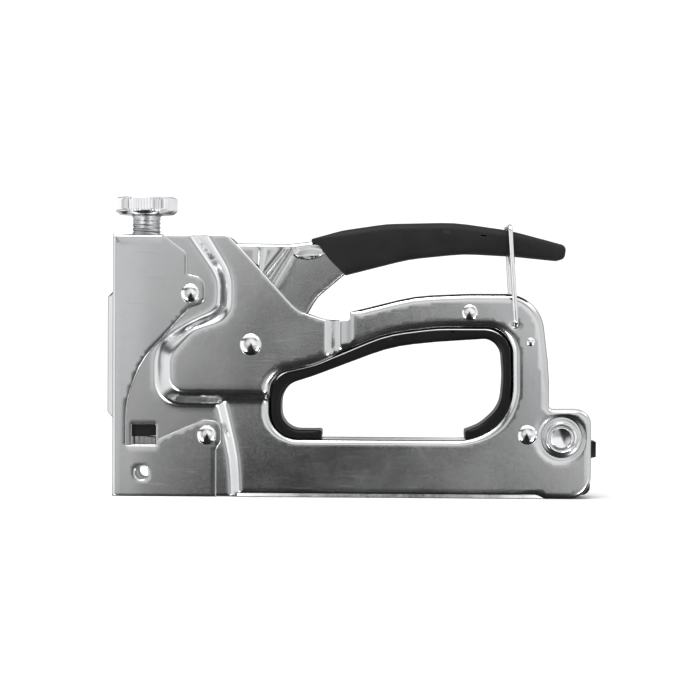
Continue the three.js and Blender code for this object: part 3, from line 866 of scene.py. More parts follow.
def polyline(name, points):
    """A start mesh: points in mm joined by edges."""
    mesh = bpy.data.meshes.new(name)
    edges = [(i, i + 1) for i in range(len(points) - 1)]
    mesh.from_pydata([tuple(c * MM for c in p) for p in points], edges, [])
    piece = bpy.data.objects.new(name, mesh)
    scene.collection.objects.link(piece)
    return piece


# %% Tree for a bent wire
def bent_wire_tree():
    """A round wire along a line, with its corners bent to a radius."""
    tree, source = new_tree("bent_wire", {"Wire radius": "Float", "Bend radius": "Float",
                                          "Bend steps": "Int", "Material": "Material"})
    curve = node(tree, "GeometryNodeMeshToCurve", {"Mesh": source.outputs["Geometry"]})
    bent = node(tree, "GeometryNodeFilletCurve",
                {"Curve": curve.outputs[0], "Radius": source.outputs["Bend radius"],
                 "Count": source.outputs["Bend steps"]}, mode="POLY")
    section = node(tree, "GeometryNodeCurvePrimitiveCircle",
                   {"Resolution": 20, "Radius": source.outputs["Wire radius"]})
    wire = node(tree, "GeometryNodeCurveToMesh",
                {"Curve": bent.outputs[0], "Profile Curve": section.outputs["Curve"],
                 "Fill Caps": True})
    return end_tree(tree, source, wire.outputs[0])


# %% Tree for a coil spring
def coil_tree():
    """A round wire wound into a coil that stands on Z."""
    tree, source = new_tree("coil_spring", {
        "Turns": "Float", "Coil radius": "Float", "Length": "Float", "Wire radius": "Float",
        "Steps per turn": "Int", "Sides": "Int", "Material": "Material"})
    spiral = node(tree, "GeometryNodeCurveSpiral", {
        "Resolution": source.outputs["Steps per turn"], "Rotations": source.outputs["Turns"],
        "Start Radius": source.outputs["Coil radius"], "End Radius": source.outputs["Coil radius"],
        "Height": source.outputs["Length"]})
    section = node(tree, "GeometryNodeCurvePrimitiveCircle",
                   {"Resolution": source.outputs["Sides"], "Radius": source.outputs["Wire radius"]})
    wire = node(tree, "GeometryNodeCurveToMesh",
                {"Curve": spiral.outputs[0], "Profile Curve": section.outputs["Curve"],
                 "Fill Caps": True})
    return end_tree(tree, source, wire.outputs[0])


# %% Tree for a knurl or a thread
def ridge_tree():
    """Pushes a turned piece's surface in by a wave round its axis, which runs along Z.

    Teeth counts ridges round the axis; Pitch, when not 0, winds them as a thread."""
    tree, source = new_tree("ridges", {
        "Axis X": "Float", "Teeth": "Float", "Turns per metre": "Float", "Depth": "Float",
        "From Z": "Float", "To Z": "Float", "Fade": "Float", "Least radius": "Float",
        "Material": "Material"})

    calc = calculator(tree)
    given = source.outputs
    at = node(tree, "ShaderNodeSeparateXYZ",
              {0: node(tree, "GeometryNodeInputPosition").outputs[0]}).outputs
    off = calc("SUBTRACT", at["X"], given["Axis X"])
    radius = calc("SQRT", calc("ADD", calc("MULTIPLY", off, off), calc("MULTIPLY", at["Y"], at["Y"])))
    turn = calc("DIVIDE", calc("ARCTAN2", at["Y"], off), 2 * math.pi)
    phase = calc("ADD", calc("MULTIPLY", turn, given["Teeth"]),
                 calc("MULTIPLY", at["Z"], given["Turns per metre"]))
    valley = calc("SUBTRACT", 1.0, calc("MULTIPLY", calc("PINGPONG", phase, 0.5), 2.0))
    above = calc("DIVIDE", calc("SUBTRACT", at["Z"], given["From Z"]), given["Fade"], clamp=True)
    below = calc("DIVIDE", calc("SUBTRACT", given["To Z"], at["Z"]), given["Fade"], clamp=True)
    outside = calc("GREATER_THAN", radius, given["Least radius"])
    share = calc("MULTIPLY", calc("MULTIPLY", above, below), outside)
    push = calc("MULTIPLY", calc("MULTIPLY", valley, share), given["Depth"])
    inward_share = calc("DIVIDE", calc("MULTIPLY", push, -1.0), calc("MAXIMUM", radius, 1e-5))
    offset = node(tree, "ShaderNodeCombineXYZ", {
        "X": calc("MULTIPLY", off, inward_share), "Y": calc("MULTIPLY", at["Y"], inward_share)})
    ridged = node(tree, "GeometryNodeSetPosition",
                  {"Geometry": given["Geometry"], "Offset": offset.outputs[0]})
    return end_tree(tree, source, ridged.outputs[0])


# %% Tree for a rivet
UNDERSIDE = 0.12         # a head's underside, as a share of its rise


def rivet_tree():
    """Domed heads on the ends of a shank: one instance of a turned dome on each point of a line."""
    tree, source = new_tree("rivet", {
        "Centre": "Vector", "Head radius": "Float", "Rise": "Float", "Half span": "Float",
        "Shank radius": "Float", "Heads": "Int", "Material": "Material"})
    calc = calculator(tree)
    given = source.outputs

    def vector(**parts):
        return node(tree, "ShaderNodeCombineXYZ", parts).outputs[0]

    dome = node(tree, "GeometryNodeMeshUVSphere", {"Segments": 56, "Rings": 28, "Radius": 1.0})
    at = node(tree, "ShaderNodeSeparateXYZ",
              {0: node(tree, "GeometryNodeInputPosition").outputs[0]}).outputs
    level = calc("ADD", calc("MAXIMUM", at["Z"], 0.0),
                 calc("MULTIPLY", calc("MINIMUM", at["Z"], 0.0), UNDERSIDE))
    shaped = node(tree, "GeometryNodeSetPosition",
                  {"Geometry": dome.outputs["Mesh"], "Position": vector(X=at["X"], Y=at["Y"], Z=level)})
    length = calc("MULTIPLY", given["Half span"], 2.0)
    first = calc("MULTIPLY", given["Half span"], -1.0)
    ends = node(tree, "GeometryNodeMeshLine", {
        "Count": given["Heads"], "Start Location": vector(Y=first), "Offset": vector(Y=length)},
        mode="OFFSET")
    index = node(tree, "GeometryNodeInputIndex").outputs[0]
    tilt = calc("MULTIPLY_ADD", index, -math.pi, math.pi / 2)
    heads = node(tree, "GeometryNodeInstanceOnPoints", {
        "Points": ends.outputs[0], "Instance": shaped.outputs[0], "Rotation": vector(X=tilt),
        "Scale": vector(X=given["Head radius"], Y=given["Head radius"], Z=given["Rise"])})
    shank = node(tree, "GeometryNodeMeshCylinder", {
        "Vertices": 32, "Radius": given["Shank radius"], "Depth": length})
    laid = node(tree, "GeometryNodeTransform",
                {"Geometry": shank.outputs["Mesh"], "Rotation": (math.pi / 2, 0, 0)})
    both = node(tree, "GeometryNodeJoinGeometry")
    tree.links.new(heads.outputs[0], both.inputs[0])
    tree.links.new(laid.outputs[0], both.inputs[0])
    placed = node(tree, "GeometryNodeTransform",
                  {"Geometry": both.outputs[0], "Translation": given["Centre"]})
    return end_tree(tree, source, placed.outputs[0])


# %% [markdown]
# ## Rivets and studs
# A rivet's head is a low dome whose edge sits on the sheet. The two short rivets at the bottom of
# the nose and the rear studs hold one wall only, because the pusher's spring passes between them.
# A stud is turned: a rim, a groove and a dished face.

# %% Rivets
def place_of(name):
    """Centre (x, z), highest y and half width of a CAD node, in mm."""
    low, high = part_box(name)
    centre = ((low.x + high.x) / 2 / MM, (low.z + high.z) / 2 / MM)
    return centre, high.y / MM, (high.x - low.x) / 2 / MM


SHANK = 0.48             # a shank's radius, as a share of its head's
RIVET_RISE = {"front_top_rivet": 1.5, "handle_rivet": 0.9, "rear_rivet": 1.4, "corner_rivet": 0.6,
              "lever_pivot_rivet": 1.6}
rivets = rivet_tree()
for name, rise in RIVET_RISE.items():
    (x, z), reach, head = place_of(name)
    piece = grow(name + "_domed", rivets, {
        "Centre": (x * MM, 0.0, z * MM), "Head radius": head * MM, "Rise": rise * MM,
        "Half span": (reach - rise) * MM, "Shank radius": SHANK * head * MM, "Heads": 2,
        "Material": CHROME})
    finished(smooth(weld(piece, 1e-6), 40), "body", "chrome", CHROME, name)


def half_rivet_profile(head, rise, seat, tail_at):
    """Dome, shank and flared tail of a rivet that holds one wall, as (radius, |y|).

    head is the dome's radius, seat the |y| of the sheet under it, and tail_at where it ends."""
    dome = [(head * math.sin(t), seat + rise * math.cos(t)) for t in np.linspace(0, math.pi / 2, 14)]
    return dome + [(head * 0.97, seat - 0.12), (0.5 * head, seat - 0.12), (0.5 * head, tail_at + 0.9),
                   (0.5 * head + 0.75, tail_at + 0.8), (0.5 * head + 0.7, tail_at + 0.1),
                   (0.5 * head, tail_at), (0, tail_at)]


def stud_profile(seat, tail_at):
    """Turned stud, as (radius, |y|): a slightly dished middle, a groove, a rim and a flared tail."""
    return [(0, seat + 0.75), (1.6, seat + 0.78), (3.0, seat + 0.98), (3.5, seat + 1.02),
            (3.75, seat + 0.9), (3.9, seat + 0.55), (4.25, seat + 0.45), (4.5, seat + 0.8),
            (4.75, seat + 1.35), (5.05, seat + 1.6), (5.35, seat + 1.55), (5.62, seat + 1.1),
            (5.68, seat + 0.5), (5.6, seat - 0.4), (2.9, seat - 0.4), (2.9, tail_at + 0.8),
            (3.6, tail_at + 0.7), (3.5, tail_at + 0.1), (2.6, tail_at), (0, tail_at)]


for word, sense in (("left", -1), ("right", 1)):
    for kind, profile, body_name in (
            ("front_lower_rivet", half_rivet_profile(3.5, 1.5, 8.28, 4.4), "domed"),
            ("rear_stud", stud_profile(9.28, 5.4), "turned")):
        node_name = f"{kind}_{word}"
        centre = place_of(node_name)[0]
        turned = lathe([(r, sense * y) for r, y in profile], centre, "Y", 64)
        piece = smooth(weld(mesh_object(f"{node_name}_{body_name}", *turned)), 30)
        finished(piece, "body", "chrome", CHROME, node_name)

# %% [markdown]
# ## The power screw
# The knob is turned from bar and knurled straight, so its rim is a ring of fine teeth. Its stem is
# threaded and runs through a plain nut. Each is a turned blank first; the ridge tree then presses
# the teeth or the thread into it. A fine wave needs at least six points for each tooth.

# %% Power screw
KNOB_TOP, KNOB_LOW, KNOB_R, STEM_R = 107.55, 101.25, 11.15, 5.15
THREAD_LOW, STEM_LOW = 88.9, 88.3
TEETH, TOOTH_POINTS, TOOTH_DEPTH = 66, 6, 0.34
THREAD_PITCH, THREAD_DEPTH, THREAD_POINTS = 1.5, 0.45, 72
knob_profile = [(0, KNOB_TOP - 0.5), (6.4, KNOB_TOP - 0.5), (6.9, KNOB_TOP - 0.1), (7.3, KNOB_TOP),
                (KNOB_R - 0.95, KNOB_TOP), (KNOB_R - 0.45, KNOB_TOP - 0.12),
                (KNOB_R - 0.08, KNOB_TOP - 0.45)]
knob_profile += [(KNOB_R, z) for z in np.linspace(KNOB_TOP - 0.8, KNOB_LOW + 1.35, 11)]
knob_profile += [(KNOB_R - 0.12, KNOB_LOW + 1.1), (KNOB_R - 0.9, KNOB_LOW + 0.45),
                 (KNOB_R - 1.5, KNOB_LOW), (STEM_R + 0.9, KNOB_LOW), (STEM_R + 0.5, KNOB_LOW - 0.35),
                 (0, KNOB_LOW - 0.35)]
stem_profile = [(0, KNOB_LOW - 0.4), (STEM_R + 0.4, KNOB_LOW - 0.4), (STEM_R, KNOB_LOW - 0.6)]
stem_profile += [(STEM_R, z) for z in np.arange(KNOB_LOW - 0.8, THREAD_LOW, -0.17)]
stem_profile += [(STEM_R - 0.5, STEM_LOW), (0, STEM_LOW)]


def screw_blank(name, profile, points):
    """A smooth turned piece on the screw's axis, with a number of points round it."""
    return weld(mesh_object(name, *lathe(profile, (SCREW_X, 0), "Z", points)))


ridges = ridge_tree()
knob = grow("knurled_knob", ridges, {
    "Axis X": SCREW_X * MM, "Teeth": float(TEETH), "Turns per metre": 0.0, "Depth": TOOTH_DEPTH * MM,
    "From Z": (KNOB_LOW + 1.2) * MM, "To Z": (KNOB_TOP - 0.25) * MM, "Fade": 0.5 * MM,
    "Least radius": (KNOB_R - 0.75) * MM, "Material": CHROME},
    screw_blank("knob_blank", knob_profile, TEETH * TOOTH_POINTS))
stem = grow("threaded_stem", ridges, {
    "Axis X": SCREW_X * MM, "Teeth": 1.0, "Turns per metre": 1 / (THREAD_PITCH * MM),
    "Depth": THREAD_DEPTH * MM, "From Z": THREAD_LOW * MM, "To Z": (KNOB_LOW - 0.6) * MM,
    "Fade": 0.6 * MM, "Least radius": 3.0 * MM, "Material": CHROME},
    screw_blank("stem_blank", stem_profile, THREAD_POINTS))
finished(smooth(knob, 32), "power_knob", "chrome", CHROME, "power_knob")
finished(smooth(stem, 60), "power_knob", "chrome", ZINC)

# %% [markdown]
# ## Springs
# The main spring is wound from thick wire and stands between the hammer and the cap of the screw;
# the pusher's spring is long and thin and lies on its rod.

# %% Springs
coils = coil_tree()


def coil(name, turns, radius, length, wire, steps, sides):
    """A coil of wire that stands on the origin; radius is that of the wire's middle, in mm."""
    return grow(name, coils, {
        "Turns": float(turns), "Coil radius": radius * MM, "Length": length * MM,
        "Wire radius": wire * MM, "Steps per turn": steps, "Sides": sides, "Material": WIRE})


def moved(piece, matrix):
    """Bakes a place into a piece's mesh."""
    piece.data.transform(matrix)
    piece.data.update()
    return piece


THICK, MAIN_OUTER, MAIN_TURNS = 0.82, 5.45, 9        # radii of the wire and of the coil
main_low, main_high = (v.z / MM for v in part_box("main_spring"))
main = coil("main_coil_spring", MAIN_TURNS, MAIN_OUTER - THICK, main_high - main_low - 2 * THICK,
            THICK, 40, 14)
moved(main, Matrix.Translation(Vector((SCREW_X, 0, main_low + THICK)) * MM))
finished(smooth(main, 60), "body", "spring_steel", WIRE, "main_spring")
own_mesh(main)

ROD_Z, THIN, ROD_OUTER, ROD_TURNS = 17.0, 0.42, 2.58, 62
rod_low, rod_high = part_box("pusher_spring")
thin = coil("pusher_coil_spring", ROD_TURNS, ROD_OUTER - THIN,
            (rod_high.x - rod_low.x) / MM - 2 * THIN, THIN, 20, 8)
rod_start = Matrix.Translation(Vector((rod_low.x / MM + THIN, 0, ROD_Z)) * MM)
lay = rod_start @ Matrix.Rotation(math.pi / 2, 4, "Y")
finished(smooth(moved(thin, lay), 60), "pusher_unit", "spring_steel", WIRE, "pusher_spring")
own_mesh(thin)

# %% [markdown]
# The hole at the bottom of the nose is tapped, so each wall of it shows a few turns of thread. A
# short coil of wire that is half sunk in the wall looks the same and needs no cutting.

# %% Tapped hole
TAP_R, TAP_WIRE, TAP_LENGTH, TAP_TURNS, TAP_END = 2.62, 0.28, 2.0, 4, 8.0
for word, first_y in (("left", -TAP_END), ("right", TAP_END - TAP_LENGTH)):
    tap = coil(f"tapped_hole_{word}", TAP_TURNS, TAP_R, TAP_LENGTH, TAP_WIRE, 40, 10)
    start = Vector((NOSE_HOLE_AT[0], first_y, NOSE_HOLE_AT[1])) * MM
    moved(tap, Matrix.Translation(start) @ Matrix.Rotation(-math.pi / 2, 4, "X"))
    finished(smooth(tap, 60), "body", "plated_shell", NICKEL)

# %% [markdown]
# ## The lock bail
# A bright wire, bent to a frame, hangs in two holes of the handle and hooks over the lever.

# %% Lock bail
BAIL_WIRE, BAIL_HALF, BAIL_FOOT = 0.86, 12.3, 7.8       # wire radius, |y| of its legs and of its ends
BAIL_TOP, BAIL_BEND = (55.7, 97.3), 1.9


def bail_route():
    """Inside one wall, out through its hole, up, over the lever and down again."""
    (x0, z0), (x1, z1) = BAIL_AT, BAIL_TOP
    left_leg = [(x0, -BAIL_FOOT, z0), (x0, -BAIL_HALF, z0), (x1, -BAIL_HALF, z1)]
    return left_leg + [(x, -y, z) for x, y, z in reversed(left_leg)]


bail = grow("wire_lock_bail", bent_wire_tree(), {
    "Wire radius": BAIL_WIRE * MM, "Bend radius": BAIL_BEND * MM, "Bend steps": 8, "Material": CHROME},
    polyline("bail_line", bail_route()))
finished(smooth(weld(bail, 1e-7), 60), "lock_bail", "chrome", CHROME, "lock_bail")

# %% [markdown]
# ## The lever
# A channel folded from sheet, open below. Its top is a soft fold, its lower edges are cut. Two
# diagonal ribs and a short upright one are pressed in beside its neck, and a lens-shaped recess
# under the grip's front edge. Raised and sunk areas are sums of smooth bumps on the side's height.

# %% Lever
LEVER, LEVER_SKIN, LEVER_FOLD = 8.4, 1.15, 1.7
LEVER_EDGE = LEVER - 1.2                    # where the walls of the cut edges end
LEVER_SPINE = [(-43, 91), (-23, 90.8), (-3, 93.6), (12, 95.8), (36, 96.6), (56, 93.9), (73, 89.4)]
LEVER_OUTLINE = rounded([
    (-43, 91, 2), (-23, 90.8, 8), (-13, 92, 8), (-3, 93.6, 20), (12, 95.8, 50), (36, 96.6, 60),
    (56, 93.9, 60), (73, 89.4, 1), (72.6, 87.4, 1), (58, 89, 60), (40, 89.8, 60), (20, 87.8, 60),
    (1.4, 83, 30), (-2.8, 80.6, 4), (-13.4, 71.6, 14), (-20.5, 59, 12), (-30, 47.5, 6), (-36.4, 44.6, 8),
    (-44, 48, 8), (-43.6, 62, 8)])
LEVER_RIBS = [((-24.2, 89.6), (-31.6, 80.2), 1.0), ((-21.6, 88.6), (-29.0, 76.2), 1.15),
              ((-33.1, 88.4), (-33.5, 81.5), 0.75)]             # ends and half width of each
RIB_HEIGHT, PAD_HEIGHT = 0.55, 0.6
PAD = ((-16.0, 87.6), 6.6, 2.2, 4.0)       # centre, half length, half height, tilt in degrees


def from_segment(places, a, b):
    """Distance of each place from the line between a and b."""
    a, b = np.array(a), np.array(b)
    t = np.clip(((places - a) @ (b - a)) / ((b - a) @ (b - a)), 0, 1)
    return np.linalg.norm(places - a - t[:, None] * (b - a), axis=1)


def pad_height(places):
    """A lens-shaped swelling, 0 to 1: it rises softly from above and ends steeply below."""
    centre, long_half, short_half, tilt = PAD
    c, s = math.cos(math.radians(tilt)), math.sin(math.radians(tilt))
    rel = places - np.array(centre)
    u = (rel[:, 0] * c + rel[:, 1] * s) / long_half
    v = (rel[:, 1] * c - rel[:, 0] * s) / short_half
    room = np.clip(1 - u ** 2, 0, 1)
    soft = np.clip((room - v) / 1.6, 0, 1)
    steep = np.clip((v + room) / 0.35, 0, 1)
    return ramp(soft, 0.4) * ramp(steep, 0.4) * ramp(room * 2, 0.4)


def lever_height(places):
    level = np.full(len(places), LEVER)
    for a, b, half in LEVER_RIBS:
        level = level + RIB_HEIGHT * np.exp(-(from_segment(places, a, b) / half) ** 2)
    return level + PAD_HEIGHT * pad_height(places)


def top_of_lever(p):
    """1 along the folded top, 0 along the cut edges."""
    x, z = p.T
    spine = np.interp(x, *zip(*LEVER_SPINE))
    return ((z > spine - 1.3) & (x < 72.4)).astype(float)


def lever_side():
    """One side of the lever, with extra points along its ribs and all over its pad."""
    radius = lambda p: CUT_EDGE + (LEVER_FOLD - CUT_EDGE) * along(top_of_lever(p), 5)
    wall = lambda p: np.where(top_of_lever(p) > 0, 0.0, LEVER_EDGE)
    extra = []
    for a, b, half in LEVER_RIBS:
        a, b = np.array(a), np.array(b)
        across = np.array([-(b - a)[1], (b - a)[0]]) / np.linalg.norm(b - a)
        for side in (-1.8, -1.2, -0.7, -0.3, 0.3, 0.7, 1.2, 1.8):
            extra += [a + (b - a) * t + across * side * half for t in np.linspace(0, 1, 14)]
    extra += [(x, z) for x in np.arange(-24, -5.5, 0.4) for z in np.arange(84, 90.4, 0.3)]
    loops = [dict(points=spread(LEVER_OUTLINE, 0.9), hole=False, radius=radius, wall=wall)]
    return panel(loops, lever_height, 1.6, LEVER_SKIN, extra)


lever = two_sided("folded_lever", *lever_side())
finished(smooth(lever, 35), "lever", "plated_shell", NICKEL, "lever")

# %% [markdown]
# ## The grip
# A dipped rubber sleeve round the rear of the lever. It is a closed tube: its long edges are well
# rounded, more at the front than at the tail, its sides bulge slightly, and its front end is cut at
# a slant with a sharp edge.

# %% Grip
GRIP, GRIP_SKIN, GRIP_BULGE = 10.95, 1.6, 0.9
GRIP_ROUND, TAIL_ROUND, FRONT_ROUND = 3.2, 1.95, 0.65     # radii of its edges
SLEEVE_INSIDE = 8.75                                      # |y| of the inner wall at the open front
FRONT_CUT = [(79.6, -3), (85.4, -8.6), (90.4, -12.4), (92.4, -16.2)]     # as (z, x)
GRIP_OUTLINE = rounded([
    (-16.3, 92.2, 0.7), (-4, 95.75, 30), (12, 98.15, 50), (36, 98.75, 60), (56, 96.0, 60),
    (76.1, 90.65, 2.2), (75.3, 85.3, 2.2), (58, 86.95, 60), (40, 87.85, 60), (20, 85.75, 60),
    (-3, 79.8, 0.9), (-8.6, 85.4, 6), (-12.4, 90.4, 3)])


def grip_front(p):
    """1 along the slanted cut at the front, 0 elsewhere."""
    line = np.interp(p[:, 1], *zip(*FRONT_CUT))
    return (p[:, 0] < line + 0.6).astype(float)


def grip_height(places):
    """The sides bulge: they rise from the edges over a few millimetres."""
    deep = depth_inside(places, GRIP_OUTLINE)
    return GRIP - GRIP_BULGE * (1 - ramp(deep / 5.5, 0.45))


def grip_radius(p):
    """Sharp at the cut front, then full, and less again towards the tail."""
    rolled = ramp((p[:, 0] + 15) / 12) * (1 - along(grip_front(p), 5))
    towards_tail = ramp((p[:, 0] - 56) / 12)
    full = GRIP_ROUND - FRONT_ROUND - (GRIP_ROUND - TAIL_ROUND) * towards_tail
    return FRONT_ROUND + full * rolled


def grip_side():
    """One side of the sleeve."""
    wall = lambda p: np.where(grip_front(p) > 0, SLEEVE_INSIDE, 0.0)
    loops = [dict(points=spread(GRIP_OUTLINE, 0.8), hole=False, radius=grip_radius, wall=wall)]
    extra = np.vstack([contour(GRIP_OUTLINE, d) for d in (4.0, 4.8)])
    return panel(loops, grip_height, 1.3, GRIP_SKIN, extra, rim_steps=9, wall_step=1.2)


grip = two_sided("rubber_grip_sleeve", *grip_side())
finished(smooth(grip, 50), "lever", "rubber", RUBBER, "lever_grip")

# %% [markdown]
# ## The finger guard
# A moulded liner clipped into the finger opening, open along the bottom. Its inner face is
# crowned, because it is what the fingers pull against.

# %% Finger guard
GUARD, GUARD_SKIN = 8.1, 0.9
BLUNT_EDGE, CROWN = 0.35, 1.5             # radii of its plain edges and of its crowned inner face
GUARD_OUTLINE = rounded([
    (-11, 21.35, 0.5), (-29.05, 21.35, 9.7), (-29.05, 43.3, 7.2), (-14, 46.8, 30), (12, 57.9, 50),
    (30, 60.2, 60), (56.1, 60.3, 8.7), (56.7, 21.35, 18.7), (40.4, 21.35, 0.5), (40.4, 24.2, 0.8),
    (46, 26.4, 14), (53.2, 33, 14), (54, 44, 30), (53, 57.6, 11), (30, 56.0, 60), (14, 54.3, 60),
    (-14, 43.6, 40), (-25.7, 39.8, 10), (-25.7, 24.2, 7), (-11, 24.2, 0.8)])


def inside_edge(p):
    """1 on the side of the liner that faces the fingers, 0 at its two blunt ends."""
    blunt = (p[:, 1] < 27) & (np.abs(p[:, 0] - 14.7) < 27)
    return ((depth_inside(p, OPENING) > 1.2) & ~blunt).astype(float)


def guard_side():
    """One side of the liner."""
    radius = lambda p: BLUNT_EDGE + (CROWN - BLUNT_EDGE) * along(inside_edge(p), 5)
    loops = [dict(points=spread(GUARD_OUTLINE, 0.7), hole=False, radius=radius, wall=constant(0.0))]
    return panel(loops, constant(GUARD), 0.9, GUARD_SKIN, rim_steps=8, wall_step=1.6)


guard = two_sided("moulded_finger_guard", *guard_side())
finished(smooth(guard, 45), "body", "black_plastic", PLASTIC, "finger_guard")

# %% [markdown]
# ## Inner pieces
# Blanked and sawn pieces have the CAD shape already. What a real one has more is broken edges: a
# copy of the node is merged, its flat faces are joined, and every sharp edge gets a small round.
# The pusher is drilled in line with the hole in the nose, so that light comes through it.

# %% Softened copies
def softened(node_name, name, width, body, slot, material):
    """A copy of a CAD node with its sharp edges rounded; width is how much they lose, in mm."""
    piece = bpy.data.objects.new(name, nodes[node_name].data.copy())
    scene.collection.objects.link(piece)
    bm = bmesh.new()
    bm.from_mesh(piece.data)
    bmesh.ops.remove_doubles(bm, verts=bm.verts, dist=2e-6)
    bmesh.ops.dissolve_limit(bm, angle_limit=math.radians(1.5), verts=bm.verts, edges=bm.edges)
    bm.to_mesh(piece.data)
    bm.free()
    bevel = piece.modifiers.new("broken edges", "BEVEL")
    bevel.width, bevel.segments = width * MM, 2
    bevel.limit_method, bevel.angle_limit = "ANGLE", math.radians(38)
    bevel.use_clamp_overlap = True
    settle(piece)
    return finished(smooth(piece, 32), body, slot, material, node_name)


SOFTENED = [          # CAD node, new name, width of the round, body, slot and finish
    ("magazine_channel", "folded_magazine_channel", 0.25, "body", "zinc_steel", ZINC),
    ("staple_rail", "folded_staple_rail", 0.25, "body", "zinc_steel", ZINC),
    ("screw_nut", "square_screw_nut", 0.3, "body", "zinc_steel", ZINC),
    ("spring_cap", "turned_spring_cap", 0.2, "spring_cap", "zinc_steel", ZINC),
    ("pusher", "staple_pusher", 0.2, "pusher", "zinc_steel", ZINC),
    ("pusher_rod", "pusher_guide_rod", 0.2, "pusher_unit", "zinc_steel", ZINC),
    ("claw_spacer_left", "turned_spacer_left", 0.15, "lever", "zinc_steel", ZINC),
    ("claw_spacer_right", "turned_spacer_right", 0.15, "lever", "zinc_steel", ZINC),
    ("hammer", "ground_hammer", 0.4, "hammer", "hard_steel", HARD),
    ("drive_blade", "staple_driving_blade", 0.1, "hammer", "hard_steel", HARD),
    ("lift_claw", "lever_lift_claw", 0.3, "lever", "hard_steel", HARD),
    ("hammer_buffer", "rubber_buffer_block", 0.5, "body", "rubber", BUFFER),
    ("magazine_end_plug", "moulded_end_plug", 0.45, "pusher_unit", "black_plastic", PLASTIC)]
copies = {row[0]: softened(*row) for row in SOFTENED}
PUSHER_HOLE = [(0, -9), (2.8, -9), (2.8, 9), (0, 9)]
cut(copies["pusher"], weld(mesh_object("drill", *lathe(PUSHER_HOLE, NOSE_HOLE_AT, "Y"))))


# %% Hammer stop
def hammer_stop():
    """A block whose sides are fluted upright and whose top is slightly arched."""
    low, high = (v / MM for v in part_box("hammer_stop"))
    flutes, depth, arch_rise, steps, levels = 7, 0.5, 0.55, 10, 6
    length = high.x - low.x
    plan = [(low.x + length * i / (flutes * steps), 1 - 0.5 * (1 - math.cos(2 * math.pi * i / steps)))
            for i in range(flutes * steps + 1)]
    front = [(x, low.y + depth * (1 - ridge)) for x, ridge in plan]
    ring = front + [(x, -y) for x, y in reversed(front)]
    middle, half = (low.x + high.x) / 2, length / 2
    vertices, faces = [], []
    for k in range(levels + 1):
        for x, y in ring:
            arch = high.z - arch_rise * ((x - middle) / half) ** 2
            vertices.append((x, y, low.z + (arch - low.z) * k / levels))
    count = len(ring)
    for k in range(levels):
        for i in range(count):
            j = (i + 1) % count
            faces.append((k * count + i, k * count + j, (k + 1) * count + j, (k + 1) * count + i))
    half_count = len(front)
    for base, flip in ((0, True), (levels * count, False)):
        for i in range(half_count - 1):
            quad = (base + i, base + i + 1, base + count - 2 - i, base + count - 1 - i)
            faces.append(quad[::-1] if flip else quad)
    return vertices, faces


stop = smooth(weld(mesh_object("fluted_hammer_stop", *hammer_stop())), 40)
finished(stop, "body", "hard_steel", HARD, "hammer_stop")

# %% [markdown]
# ## Camera, floor and light
# The camera stands square to the side of the tool, a little above it, with a long lens. Shiny
# metal shows what is around it, so the light is planned as a surrounding: a bright strip overhead,
# tall bright walls to the left and right, and a bright wall ahead that is split by a dark gap, as a
# studio has round its camera. Below it is dark but for a faint haze. The gap's borders lean, so a
# rivet's dome shows a dark wedge. Shiny surfaces see that surrounding; matt ones get an even white
# light, and three softboxes add the highlights.

# %% Camera
TARGET, EYE = Vector((-1, -10, 53)) * MM, Vector((10, -760, 68)) * MM
ROLL = math.radians(0.33)   # how far the camera is turned about its line of sight
SPAN = 250.0                # width of the view in mm at the target
camera_data = bpy.data.cameras.new("camera")
camera_data.sensor_width = 36.0
camera_data.lens = camera_data.sensor_width * (TARGET - EYE).length / (SPAN * MM)
camera = bpy.data.objects.new("camera", camera_data)
scene.collection.objects.link(camera)
forward = (TARGET - EYE).normalized()
side = forward.cross(Vector((0, 0, 1))).normalized()
up = side.cross(forward)
right, up = side * math.cos(ROLL) + up * math.sin(ROLL), up * math.cos(ROLL) - side * math.sin(ROLL)
camera.matrix_world = Matrix((right, up, -forward)).transposed().to_4x4()
camera.location = EYE
scene.camera = camera
print("lens", round(camera_data.lens, 1), "mm")


# %% Floor and backdrop
def pale_floor():
    """Matt, nearly white paper."""
    m = Nodes("pale_floor", Roughness=0.9, Specular_IOR_Level=0.1)
    m.shades(m.remap(m.noise(4, 3), 0.3, 0.7, 0, 1), (0.90, 0.90, 0.90), (0.93, 0.93, 0.93))
    return m.material


def sweep():
    """A floor that curves up into a wall behind the object and fades far to the sides."""
    front, back, high, curve, half, gap = -2200.0, 900.0, 2600.0, 700.0, 3000.0, 0.02
    section = [(front, 0.0), (back - curve, 0.0)]
    section += [(back - curve + curve * math.sin(t), curve * (1 - math.cos(t)))
                for t in np.linspace(0.06, math.pi / 2, 24)]
    section.append((back, high))
    vertices = [(x, y, z - gap) for y, z in section for x in (-half, half)]
    faces = [(2 * i, 2 * i + 1, 2 * i + 3, 2 * i + 2) for i in range(len(section) - 1)]
    return vertices, faces


floor = mesh_object("studio_floor", *sweep())
floor.data.materials.append(pale_floor())
floor.data.shade_smooth()
floor.visible_glossy = False
floor.visible_shadow = False


